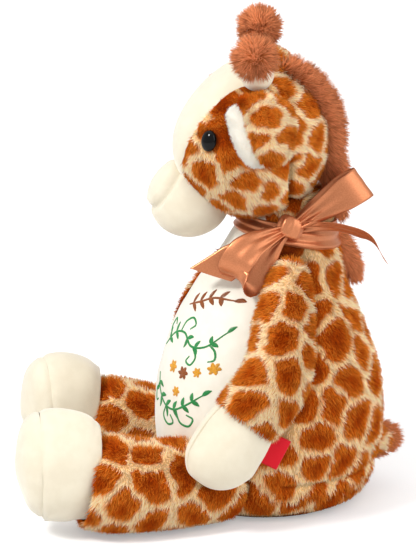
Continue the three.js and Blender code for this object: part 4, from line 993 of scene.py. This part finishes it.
head_angles = np.concatenate([
    np.linspace(BLAZE_HIGH, BLAZE_LOW, 53)[:-1],
    np.linspace(BLAZE_LOW, BLAZE_HIGH + 2 * math.pi, 77)[:-1],
])
down_face = np.clip((head_angles - BLAZE_HIGH) / (BLAZE_LOW - BLAZE_HIGH), 0, 1)
blaze_edge = BLAZE_HALF + BLAZE_SWELL * np.sin(np.clip(down_face / 0.85, 0, 1) * math.pi) ** 1.5
blaze_edge = (blaze_edge - BLAZE_NARROWS * np.clip((down_face - 0.72) / 0.2, 0, 1)) / HEAD_HALF[0]
slants = np.array([
    np.interp(slant, [-1, -blaze_share, blaze_share, 1], [-1, -edge, edge, 1]) for edge in blaze_edge
]).T
radius = np.sqrt(np.clip(1 - slants**2, 0, 1))


def head_grid(grow=0.0):
    """The ball's points, with the forehead pressed flatter, and with the skin grown outwards by grow."""
    shape = np.stack([
        slants * HEAD_HALF[0],
        radius * np.cos(head_angles) * HEAD_HALF[1],
        radius * np.sin(head_angles) * HEAD_HALF[2],
    ], axis=-1)
    away = shape / np.linalg.norm(shape, axis=-1)[..., None]
    flat = FOREHEAD_FLAT * np.exp(-((1 - away @ FOREHEAD_WAY) / FOREHEAD_REACH) ** 1.3)
    return shape + away * (grow - flat)[..., None] + HEAD_MIDDLE


on_blaze = np.zeros((len(slant) - 1, len(head_angles)), bool)
on_blaze[29:55, :52] = True
head_middle = turned(HEAD_MIDDLE, head_place)
head_fur = skin("head_fur", [(turned(head_grid(), head_place), True, ~on_blaze)])
outwards(head_fur, head_middle)
head_points, _ = corners_of(head_fur.data)
in_head = turned(head_points.astype(float), head_place.inverted()) - HEAD_MIDDLE
eye_patch = EYE_PATCH_MM - np.linalg.norm((in_head - np.array([0, -21, 20]) * MM)[:, 1:], axis=1) / MM
head_spots = patches(head_points.astype(float), 20 * MM, SPOT_GAP, 51)
put(head_fur.data, "spot", np.maximum(head_spots, eye_patch))
brushed_back = np.array(head_place.to_3x3() @ Vector((0, 0.6, -0.7)))
face_pieces = ["eye_left", "eye_right", "face_blaze", "muzzle", "horn_left", "horn_right"]
pieces_away = beside(head_points, face_pieces)
ears_away = beside(head_points, ["ear_left", "ear_right"])
gusset_away = (
    np.abs(in_head[:, 1] - 30 * MM)
    + np.clip(in_head[:, 2] - 4 * MM, 0, None)
    + np.clip(18 * MM - np.abs(in_head[:, 0]), 0, None)
)
pressed(head_fur, ears_away, EAR_DENT, EAR_DENT_REACH)
pressed(head_fur, gusset_away, GUSSET_DENT, GUSSET_DENT_REACH)
# The short pile round the face pieces, the ears and the gusset seam also paints the fur darker there: painted
# shade.
head_pile = np.minimum.reduce([
    np.clip(pieces_away / (7 * MM), 0.4, 1), np.clip(ears_away / (17 * MM), 0.15, 1),
    np.clip(gusset_away / (6 * MM), 0.25, 1),
])
coat(head_fur, spotted_fur, 48000, 5 * MM, PLUSH_HAIR, brushed_back, seed=50, pile=head_pile)
settle(head_fur, "head", ["head_skin", "head_filling"])
blaze_bulge = BLAZE_BULGE * (0.9 - np.clip(np.abs(slant) * HEAD_HALF[0] / BLAZE_HALF, 0, 1)[:, None] ** 4)
blaze_grid = head_grid(blaze_bulge * np.ones(len(head_angles)))
blaze = skin("blaze_velour", [(turned(blaze_grid, head_place), True, on_blaze)])
outwards(blaze, head_middle)
dented(blaze, 30 * MM, 0.8 * MM, 17)
settle(blaze, "head", ["face_blaze"], cream_velour)

# The muzzle is a drooping velour ball sewn to the front of the face, of two pieces of cloth.
# The seam between them is drawn in all round the nose.
MUZZLE_HALF_MM, MUZZLE_LONG_MM = 30, 31.5
MUZZLE_TILT = Matrix.Rotation(math.radians(41), 4, "X")
NOSE_WAY = np.array([-0.83, 0.557])
NOSE_REACH = 21.4 * MM
NOSE_SEAM_MM, NOSE_SEAM_HALF = 2.6, 1.8 * MM
NOSE_SWELL_MM, NOSE_RUN = 1.8, 4 * MM
muzzle_angles = circle(192)
muzzle_slant = np.cos(np.linspace(0, math.pi, 120))
muzzle_radius = np.sqrt(np.clip(1 - muzzle_slant**2, 0, 1))
muzzle_grid = np.stack([
    muzzle_radius[:, None] * np.cos(muzzle_angles) * MUZZLE_HALF_MM * MM,
    np.broadcast_to(muzzle_slant[:, None] * MUZZLE_LONG_MM * MM, (120, 192)),
    muzzle_radius[:, None] * np.sin(muzzle_angles) * MUZZLE_HALF_MM * MM,
], axis=-1)
muzzle_at = Matrix.Translation((0, (HEAD_MIDDLE_MM[1] - 45) * MM, (HEAD_MIDDLE_MM[2] - 50) * MM))
past_crease = turned(muzzle_grid, MUZZLE_TILT)[..., 1:] @ NOSE_WAY - NOSE_REACH
crease = -NOSE_SEAM_MM * np.exp(-((past_crease / NOSE_SEAM_HALF) ** 2))
crease = crease + NOSE_SWELL_MM * np.clip(past_crease / NOSE_RUN, 0, 1) ** 2
muzzle_grid = muzzle_grid * (1 + crease[..., None] * MM / (MUZZLE_HALF_MM * MM))
muzzle = bag("muzzle_velour", muzzle_grid, (0, 0, 0), head_place @ muzzle_at @ MUZZLE_TILT)
dented(muzzle, 24 * MM, 1.0 * MM, 21)
settle(muzzle, "head", ["muzzle"], cream_velour)

# The eyes are oval domes of glossy black plastic, flat at the back, pushed through the plush
# and held from inside by a locking washer.
EYE_HALF_WIDTH, EYE_HALF_HEIGHT, EYE_RISE = 6.4 * MM, 8 * MM, 4.5 * MM
EYE_OFF_SKIN_MM = 1.6
black_gloss, _, gloss_surface = cloth("black gloss", 0.06, 0.0, 0.22)
gloss_surface.inputs["Base Color"].default_value = paint("030202")
lift = np.linspace(0, math.pi / 2, 20)[:, None]
around = circle(48)
for name, side in (("left", 1), ("right", -1)):
    on_skin = np.array([side * 44, -31, 17], float) * MM
    on_skin /= np.linalg.norm(on_skin / HEAD_HALF)
    facing = on_skin / np.linalg.norm(on_skin)
    eye_at = on_skin + HEAD_MIDDLE + facing * EYE_OFF_SKIN_MM * MM
    side_way = np.cross(UP, facing)
    side_way /= np.linalg.norm(side_way)
    up_way = np.cross(facing, side_way)
    dome = (
        eye_at
        + side_way * (EYE_HALF_WIDTH * np.cos(lift) * np.cos(around))[..., None]
        + up_way * (EYE_HALF_HEIGHT * np.cos(lift) * np.sin(around))[..., None]
        + facing * (EYE_RISE * np.sin(lift) * np.ones(48))[..., None]
    )
    flat_back = eye_at + (dome[0] - eye_at)[None] * np.linspace(0, 1, 4)[:, None, None]
    eye_grid = np.concatenate([flat_back, dome[1:]])
    eye = bag("eye_dome_" + name, eye_grid, eye_at + facing * EYE_RISE / 3, head_place)
    settle(eye, "head", ["eye_" + name, "eye_washer_" + name], material=black_gloss)

# The ears are two leaves sewn back to back, spotted plush outside and curly white plush inside,
# caught at the top so that they fold down over the side of the head.
white_fur = fur_cloth("white plush", "FFF5E4", "FFFCF2", 0.95, 1.0)
EAR_TILT, EAR_LEAN, EAR_OUT_MM = math.radians(30), math.radians(44), 62
EAR_OUTLINE_MM = [
    (-19.5, 25), (-9.5, 28.5), (7.5, 30), (19.5, 23), (24.5, 9.5), (22.5, -7.5), (17.5, -22), (6, -28),
    (-1.5, -27.5), (-6.5, -22.5), (-14, -8), (-18.2, 9),
]


def leaf(grow, half_thick, side, lift, shift, shares):
    """A soft leaf of cloth: the ear's outline, full in the middle, thin at the edge, and curled."""
    edge = curve_through(EAR_OUTLINE_MM[-1:] + EAR_OUTLINE_MM + EAR_OUTLINE_MM[:2], 97)[:-1]
    edge = edge * shares * (1 + grow / np.linalg.norm(edge, axis=1)[:, None])
    rise = np.linspace(-math.pi / 2, math.pi / 2, 40)
    shape = np.stack([
        np.broadcast_to(np.sin(rise)[:, None] * half_thick, (40, 96)),
        np.cos(rise)[:, None] ** 0.75 * edge[:, 0],
        np.cos(rise)[:, None] ** 0.75 * edge[:, 1] + shift[1],
    ], axis=-1)
    shape[..., 1] += shift[0] * np.clip((22 - shape[..., 2]) / 10, 0, 1)
    curl = -side * 0.006 * (shape[..., 1] ** 2 + 0.6 * shape[..., 2] ** 2)
    shape[..., 0] += side * lift + curl
    return shape * MM


for name, side in (("left", 1), ("right", -1)):
    ear_at = [side * math.cos(EAR_TILT) * EAR_OUT_MM, 6, math.sin(EAR_TILT) * EAR_OUT_MM]
    ear_move = Matrix.Translation(HEAD_MIDDLE + np.array(ear_at) * MM)
    ear_place = head_place @ ear_move @ Matrix.Rotation(-side * EAR_LEAN, 4, "Y")
    outer_leaf = leaf(-2, 8, side, 7, (5, -2.5), (0.86, 0.97))
    outer = bag("ear_fur_" + name, outer_leaf, np.array([side * 2.5, 0, 0]) * MM, ear_place)
    spotted(outer, 61 + side, 16 * MM, 4 * MM)
    brush = np.array(ear_place.to_3x3() @ Vector((0, 0.3, -0.5)))
    coat(outer, spotted_fur, 13000, 4.5 * MM, PLUSH_HAIR, brush, seed=60 + side)
    settle(outer, "ear_" + name, ["ear_" + name])
    inner_leaf = leaf(-1, 5.5, side, -2, (-5, -3.5), (0.92, 0.84))
    lining = bag("ear_curls_" + name, inner_leaf, np.array([-side * 2.5, -3, -3]) * MM, ear_place)
    coat(lining, white_fur, 15000, 3.4 * MM, 0.9 * MM, (0, 0, 0), lift=1, scatter=0.8, seed=64 + side)
    settle(lining, "ear_" + name, ["ear_lining_" + name])

# The horns are short velour stalks, stuffed and sewn to the top of the head,
# with a pompon of long ginger fur tied on each.
ginger_fur = fur_cloth("ginger fur", "AA5322", "EA9060", 0.72, 1.15)
horn_velour = velour_cloth("horn velour", "F2E9D4", "E8DCC0")
HORN_RADIUS_MM, HORN_SUNK_MM = 12.5, 1.5
HORN_TOP_MM = [(11.6, 5), (10.2, 9), (9, 13), (8, 16), (4, 18), (0, 18)]
HORN_LEAN = math.radians(18)
POMPON_RADIUS_MM = 8.5


def ball(rows, columns):
    """The points of a ball of radius 1."""
    rise, turn = np.linspace(0, math.pi, rows), circle(columns)
    return np.stack([
        np.sin(rise)[:, None] * np.cos(turn), np.sin(rise)[:, None] * np.sin(turn),
        np.broadcast_to(np.cos(rise)[:, None], (rows, columns)),
    ], axis=-1)


low = np.linspace(0, math.pi / 2, 12)
outline = np.concatenate([
    np.stack([HORN_RADIUS_MM * np.sin(low), -HORN_RADIUS_MM * np.cos(low)], axis=1), HORN_TOP_MM,
]) * MM
stalk_grid = np.stack([
    outline[:, :1] * np.cos(around), outline[:, :1] * np.sin(around),
    np.broadcast_to(outline[:, 1:], (len(outline), 48)),
], axis=-1)
half_across, half_deep, half_high = HEAD_HALF_MM
for name, side, ball_at in (("left", 1, (0, -1.5, 15.5)), ("right", -1, (0, 2.5, 14))):
    foot_at = np.array([side * 26, 4, 0], float)
    on_head = half_high * math.sqrt(1 - (foot_at[0] / half_across) ** 2 - (foot_at[1] / half_deep) ** 2)
    foot_at[2] = on_head + HORN_RADIUS_MM - HORN_SUNK_MM
    horn_place = (
        head_place @ Matrix.Translation(Vector(foot_at * MM) + Vector(HEAD_MIDDLE))
        @ Matrix.Rotation(side * HORN_LEAN, 4, "Y")
    )
    stalk = bag("horn_stalk_" + name, stalk_grid, (0, 0, 0), horn_place)
    settle(stalk, "horn_" + name, ["horn_" + name], horn_velour)
    ball_at = np.array(ball_at) * MM
    pompon = bag("pompon_fur_" + name, ball(24, 48) * POMPON_RADIUS_MM * MM + ball_at, ball_at, horn_place)
    coat(
        pompon, ginger_fur, 4200, 11 * MM, 1.5 * MM, (0, 0, 0), lift=1, lock=4 * MM, pull=3.2, seed=70 + side
    )
    settle(pompon, "horn_" + name, ["pompon_" + name])

# The mane is a strip of long ginger fur sewn into the middle seam of the head and of the back.
# The ribbon divides it, so the head and the torso each carry a length of it.
MANE_OFF_SKIN_MM = 1.5
MANE_ROWS = [(0, 0, 0), (0.04, 0.7, 0.7), (0.5, 1, 1), (0.96, 0.8, 0.8), (1, 0, 0)]
LOW_MANE_ROWS = [(0, 0, 0), (0.1, 0.8, 0.8), (0.5, 1, 1), (0.9, 0.8, 0.8), (1, 0, 0)]
SIDEWAYS = (1, 0, 0)
_, mane_deep, mane_high = HEAD_HALF_MM + MANE_OFF_SKIN_MM
_, mane_middle, mane_rise = HEAD_MIDDLE_MM
mane_line = [
    (0, (math.cos(a) * mane_deep + mane_middle) * MM, (math.sin(a) * mane_high + mane_rise) * MM)
    for a in np.radians(np.linspace(66, -8, 12))
] + [(0, 34 * MM, 32 * MM), (0, 35 * MM, 8 * MM)]
mane_form = stuffed(mane_line, MANE_ROWS, 5 * MM, 4 * MM, SIDEWAYS, 90)
mane = bag("mane_fur", ring_points(mane_form, circle(24)), HEAD_MIDDLE, head_place)
mane_points, _ = corners_of(mane.data)
away_from_head = mane_points - head_middle
away_from_head /= np.linalg.norm(away_from_head, axis=1)[:, None]
mane_comb = away_from_head * 1.4 + np.array([0, 0, -0.5])
coat(mane, ginger_fur, 13000, 13 * MM, 1.3 * MM, mane_comb, pull=2.4, seed=80)
settle(mane, "head", ["mane_upper"])
low_line = [(0, 47 * MM, 208 * MM), (0, 55 * MM, 195 * MM), (0, 63 * MM, 180 * MM), (0, 67 * MM, 172 * MM)]
low_form = stuffed(low_line, LOW_MANE_ROWS, 5 * MM, 3.5 * MM, SIDEWAYS, 40)
low_mane = bag("mane_fur_back", ring_points(low_form, circle(24)), (0, 55 * MM, 190 * MM))
coat(low_mane, ginger_fur, 4500, 12 * MM, 1.3 * MM, (0, 0.7, -0.9), lift=0.9, seed=83)
settle(low_mane, "torso", ["mane_lower"])

# The tail is a short spotted flap of plush with a fringe of ginger fur round its end.
# It is sewn low on the back, into the middle seam.
TAIL_AT = np.array([0, 84, 37.5]) * MM
FLAP_HALF_MM = np.array([6, 17, 11])
FRINGE_HALF_MM = np.array([2.5, 19.5, 13])
FRINGE_REACH = np.array([12, 19.5, 13]) * MM
FRINGE_BARE = 0.45
flap = bag("tail_fur", ball(36, 60) * FLAP_HALF_MM * MM + TAIL_AT, TAIL_AT)
spotted(flap, 91, 14 * MM, 5 * MM)
coat(flap, spotted_fur, 5000, PLUSH_PILE, 0.85 * MM, (0, 0.9, -0.4), seed=90)
settle(flap, "tail", ["tail"])
tuft = bag("tail_fringe", ball(36, 60) * FRINGE_HALF_MM * MM + TAIL_AT, TAIL_AT)
tuft_points, _ = corners_of(tuft.data)
from_root = np.linalg.norm((tuft_points - TAIL_AT) / FRINGE_REACH + (0, 0.35, 0), axis=1)
tuft_pile = np.clip(from_root - FRINGE_BARE, 0.1, 1)
coat(tuft, ginger_fur, 7000, 10 * MM, 1.1 * MM, (0, 0.5, -0.2), lift=0.9, seed=93, pile=tuft_pile)
settle(tuft, "tail", ["tail_tuft"])

# The bow is 25 mm satin ribbon: a band round the neck, a knot at the left, two loops and two tails.
# It is soft cloth gathered into the knot, so the folds run out of the knot and die away.
satin, satin_tree, satin_surface = cloth("copper satin", 0.34, 0.0, 0.5)
satin_place = add(satin_tree, "ShaderNodeTexCoord").outputs["Object"]
weave = add(satin_tree, "ShaderNodeTexNoise", {"Scale": 1200, "Vector": satin_place}).outputs[0]
satin_shade = ranged(satin_tree, weave, 0.3, 0.7)
satin_colour = blend_colours(satin_tree, satin_shade, paint("C2774E"), paint("CE835A"))
satin_tree.links.new(satin_colour, satin_surface.inputs["Base Color"])
satin_surface.inputs["Metallic"].default_value = 0.7
RIBBON_WIDTH = 25 * MM
RIBBON_THICK = 0.25 * MM


def ribbon(name, grid):
    """A strip of cloth with two sides and closed edges, from a grid of points along and across it."""
    face = np.cross(np.gradient(grid, axis=0), np.gradient(grid, axis=1))
    face /= np.maximum(np.linalg.norm(face, axis=2), 1e-12)[..., None]
    top, bottom = grid + face * RIBBON_THICK / 2, grid - face * RIBBON_THICK / 2
    loop = np.concatenate([top, bottom[:, ::-1]], axis=1)
    start, end = (np.stack([top[k], bottom[k]]) for k in (0, -1))
    return skin(name, [(loop, True, None), (start, False, None), (end, False, None)])


def strip(path, across, widths, folds, count=84, columns=17):
    """A grid of points: a smooth path, with the cloth's width across it and soft folds that run along it."""
    across = np.broadcast_to(np.asarray(across, float), (len(path), 3))
    joined = curve_through(with_guides(np.hstack([path, across * 0.1 * MM])), count)
    line, across = joined[:, :3], joined[:, 3:]
    lean = np.gradient(line, axis=0)
    lean /= np.linalg.norm(lean, axis=1)[:, None]
    wide = across - lean * (lean * across).sum(axis=1)[:, None]
    wide /= np.linalg.norm(wide, axis=1)[:, None]
    face = np.cross(lean, wide)
    share = np.linspace(0, 1, count)
    width = np.interp(share, *zip(*widths)) * RIBBON_WIDTH
    depth = np.interp(share, *zip(*folds)) * MM
    t = np.linspace(-0.5, 0.5, columns)
    wave = depth[:, None] * np.sin(t * math.pi * 5 + 0.4)[None]
    return line[:, None] + wide[:, None] * (width[:, None] * t)[..., None] + face[:, None] * wave[..., None]


view_azimuth, view_elevation = math.radians(76), math.radians(15.5)
towards_camera = Vector((
    math.sin(view_azimuth) * math.cos(view_elevation),
    -math.cos(view_azimuth) * math.cos(view_elevation),
    math.sin(view_elevation),
))
view_right = Vector((math.cos(view_azimuth), math.sin(view_azimuth), 0))
bow_front = np.array([view_right, towards_camera.cross(view_right), towards_camera])
KNOT = np.array([38.6, 6, 221.5]) * MM


# Each place is in mm to the right of the knot, above it and out of it, as the bow is seen from its front.
# Widths and folds are (share of the length, share of the ribbon's width) and (share, depth in mm).
LOOP_FOLDS = [(0, 1.6), (0.18, 0.5), (0.35, 0.1), (0.65, 0.1), (0.82, 0.5), (1, 1.6)]
TAIL_FOLDS = [(0, 1.6), (0.35, 0.5), (0.7, 0.15), (1, 0.05)]
bow_pieces = (
    ("loop_back", None,
        [(5, 1, 3), (18, 9, 7), (36, 21, 9), (50, 30, 7), (55, 34, 2), (51, 33, -4), (36, 25, -6),
         (18, 13, -4), (5, 3, -2)],
        (-0.59, 0.8, 0.12),
        [(0, 0.3), (0.16, 0.62), (0.34, 0.95), (0.46, 1), (0.54, 1), (0.66, 0.95), (0.84, 0.62), (1, 0.3)],
        LOOP_FOLDS),
    ("loop_front", None,
        [(-4, -2, 4), (-16, -7, 9), (-29, -14, 13), (-38, -23, 14), (-42, -31.5, 11), (-39, -38.5, 6),
         (-32, -40.5, 3), (-27, -35, 3), (-21, -24, 4), (-11, -11, 3), (-3, -4, 1)],
        [(0.3, -0.9, 0.2), (0.5, -0.8, 0.2), (0.62, -0.74, 0.2), (0.75, -0.62, 0.2), (0.8, -0.55, 0.1),
         (0.78, -0.6, 0), (0.9, -0.4, 0), (0.97, -0.25, 0), (0.93, -0.35, 0), (0.85, -0.5, 0),
         (0.8, -0.6, 0)],
        [(0, 0.3), (0.14, 0.62), (0.3, 0.97), (0.45, 1), (0.65, 1), (0.78, 0.95), (0.9, 0.6), (1, 0.3)],
        LOOP_FOLDS),
    ("tail_back", (0.8, 1),
        [(5, 0, -1), (20, 1, 2), (40, -1, 4), (58, -8, 2), (72, -24, -4)],
        [(0, 1, 0.3), (0, 0.45, 0.85), (-0.1, 0.3, 0.93), (-0.25, 0.35, 0.87), (-0.4, 0.3, 0.85)],
        [(0, 0.35), (0.3, 0.8), (1, 1)], TAIL_FOLDS),
    ("tail_front", (1, 0.72),
        [(-4, -3, 0), (-20, -11, 2), (-40, -23, 2), (-56, -33.5, 0), (-68, -41, -2)],
        [(0.3, -0.9, 0.2), (0.4, -0.9, 0.1), (0.42, -0.9, 0), (0.42, -0.9, 0), (0.42, -0.9, 0)],
        [(0, 0.35), (0.3, 0.75), (0.6, 1), (1, 1)], TAIL_FOLDS),
)
for name, cut, path, across_way, widths, folds in bow_pieces:
    path = [KNOT + np.array(place) @ bow_front * MM for place in path]
    grid = strip(path, np.array(across_way) @ bow_front, widths, folds)
    if cut:
        steps = np.arange(len(grid))
        for column, share in enumerate(np.linspace(*cut, grid.shape[1])):
            edge, on_cut = grid[:, column], steps * share
            grid[:, column] = np.stack([np.interp(on_cut, steps, edge[:, k]) for k in range(3)], axis=1)
    piece = ribbon("ribbon_" + name, grid)
    settle(piece, "torso", ["bow_" + name], material=satin)
BAND_LOW, BAND_HIGH = 205 * MM, 222 * MM
round_neck = circle(144)
band_form = torso_rings(500)
chosen = (band_form[0][:, 2] > BAND_LOW) & (band_form[0][:, 2] < BAND_HIGH)
band_form = [part[chosen] for part in band_form]
band_share = np.linspace(-1, 1, chosen.sum())
band_out = (1.2 + 1.8 * (1 - band_share**4) + 0.7 * np.sin(band_share * 7)) * MM
band_turns = ring_points(band_form, round_neck)
band_away = band_turns - band_form[0][:, None]
band_away /= np.linalg.norm(band_away, axis=-1)[..., None]
pleat = 0.5 * MM * np.sin(round_neck * 3 + band_share[:, None] * 3)
band_grid = band_turns + band_away * (band_out[:, None] + pleat)[..., None]
band_inside = band_turns + band_away * 0.3 * MM
band_loop = np.concatenate([band_grid, band_inside[::-1], band_grid[:1]])
band = bag("ribbon_band", band_loop, (0, NECK_BACK, 213 * MM))
settle(band, "torso", ["bow_band"], material=satin)
KNOT_HALF_MM = (10, 8.3, 7)
KNOT_BLUNT = 0.32
knot_rise = np.linspace(0, math.pi, 40)[:, None]
knot_turn = circle(72)
pinch = 1 + 0.04 * np.cos(knot_turn * 9) * np.sin(knot_rise)
knot_shape = np.stack([
    np.sin(knot_rise) ** KNOT_BLUNT * np.cos(knot_turn) * pinch * KNOT_HALF_MM[0],
    np.cos(knot_rise) * KNOT_HALF_MM[1] * np.ones(72),
    np.sin(knot_rise) ** KNOT_BLUNT * np.sin(knot_turn) * pinch * KNOT_HALF_MM[2],
], axis=-1)
knot_lean = np.array(Matrix.Rotation(math.radians(-22), 3, "Z")).T
knot = bag("ribbon_knot", KNOT + knot_shape @ knot_lean @ bow_front * MM, KNOT)
settle(knot, "torso", ["bow_knot"], material=satin)

# The side label is a folded tab of red woven tape caught in the side seam, left plain.
# It stands up through the pile and lies back against the flank.
LABEL_WIDTH_MM = 24
TAPE_PATH_MM = [
    (-1.2, -2), (-0.2, 5), (1.4, 11), (2.2, 16), (2.6, 16.8), (3.0, 16), (2.4, 11), (0.8, 5), (-0.2, -2),
]
red_tape, red_tree, red_surface = cloth("red woven tape", 0.6, 0.1)
red_place = add(red_tree, "ShaderNodeTexCoord").outputs["Object"]
tape_weave = add(red_tree, "ShaderNodeTexWave", {"Scale": 900, "Vector": red_place}, bands_direction="Z")
red_colour = blend_colours(red_tree, tape_weave.outputs[1], paint("C4061C"), paint("E00F28"))
red_tree.links.new(red_colour, red_surface.inputs["Base Color"])
label_turn = Matrix.Translation(Vector((82, -25, 67)) * MM) @ Matrix.Rotation(math.radians(-28), 4, "X")
tape_rise = np.linspace(-LABEL_WIDTH_MM / 2, LABEL_WIDTH_MM / 2, 15)
tape_line = curve_through(with_guides(TAPE_PATH_MM), 60)
tape_grid = np.stack([
    np.broadcast_to(sheet, (60, 15)) for sheet in (tape_line[:, :1], tape_line[:, 1:], tape_rise)
], axis=-1) * MM
label = ribbon("label_tape", turned(tape_grid, label_turn))
settle(label, "torso", ["side_label"], material=red_tape)

# A plain white sweep lies under the toy, and soft light comes from above and from both sides.
# The floor glows a little for the camera alone, so it is near white and keeps the shadow.
floor_mesh = bpy.data.meshes.new("floor")
floor_mesh.from_pydata([(-6, -6, 0), (6, -6, 0), (6, 6, 0), (-6, 6, 0)], [], [(0, 1, 2, 3)])
floor = linked("floor", floor_mesh)
white_floor = bpy.data.materials.new("white floor")
white_floor.use_nodes = True
floor_tree = white_floor.node_tree
floor_surface = floor_tree.nodes["Principled BSDF"]
floor_surface.inputs["Base Color"].default_value = (0.8, 0.8, 0.8, 1)
floor_surface.inputs["Emission Color"].default_value = (1, 1, 1, 1)
floor_surface.inputs["Roughness"].default_value = 0.9
floor_surface.inputs["Specular IOR Level"].default_value = 0.1
floor_place = add(floor_tree, "ShaderNodeTexCoord").outputs["Object"]
floor_reach = add(floor_tree, "ShaderNodeVectorMath", {0: floor_place}, operation="LENGTH").outputs["Value"]
floor_glow = ranged(floor_tree, floor_reach, 0.4, 2.6, 0.3, 0.68)
seen = add(floor_tree, "ShaderNodeLightPath").outputs["Is Camera Ray"]
glow_seen = number(floor_tree, "MULTIPLY", floor_glow, seen)
floor_tree.links.new(glow_seen, floor_surface.inputs["Emission Strength"])
floor_mesh.materials.append(white_floor)
floor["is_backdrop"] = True

look_at = Vector((0, -0.047, 0.176))
for name, place, size, power in (
    ("key", look_at + towards_camera * 1.0 - view_right * 1.1 + Vector((0, 0, 1.2)), 0.45, 28),
    ("fill", look_at + towards_camera * 1.0 + view_right * 1.4 + Vector((0, 0, 0.6)), 1.5, 13),
    ("top", look_at + Vector((0, 0, 1.8)), 2.0, 6),
):
    lamp = bpy.data.lights.new(name, "AREA")
    lamp.size = size
    lamp.energy = power
    lamp_ob = linked(name, lamp)
    lamp_ob.location = place
    lamp_ob.rotation_euler = (place - look_at).to_track_quat("Z", "Y").to_euler()
WORLD_LIGHT, WORLD_SEEN = 0.74, 1.0
world = bpy.data.worlds.new("studio")
world.use_nodes = True
backdrop = world.node_tree.nodes["Background"]
world_seen = add(world.node_tree, "ShaderNodeLightPath").outputs["Is Camera Ray"]
strength = add(world.node_tree, "ShaderNodeMapRange", {
    "Value": world_seen, "To Min": WORLD_LIGHT, "To Max": WORLD_SEEN,
})
world.node_tree.links.new(strength.outputs[0], backdrop.inputs["Strength"])
backdrop.inputs["Color"].default_value = (1, 1, 1, 1)
bpy.context.scene.world = world

CAMERA_AWAY = 2.2
camera_data = bpy.data.cameras.new("camera")
camera_data.sensor_fit = "HORIZONTAL"
camera_data.sensor_width = 36
camera_data.lens = 252.2
camera_data.clip_end = 50
camera = linked("camera", camera_data)
camera.location = look_at + towards_camera * CAMERA_AWAY
camera.rotation_euler = towards_camera.to_track_quat("Z", "Y").to_euler()
bpy.context.scene.camera = camera
bpy.context.scene.view_settings.view_transform = "Standard"

bpy.data.objects.remove(one_hair)
low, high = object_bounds()
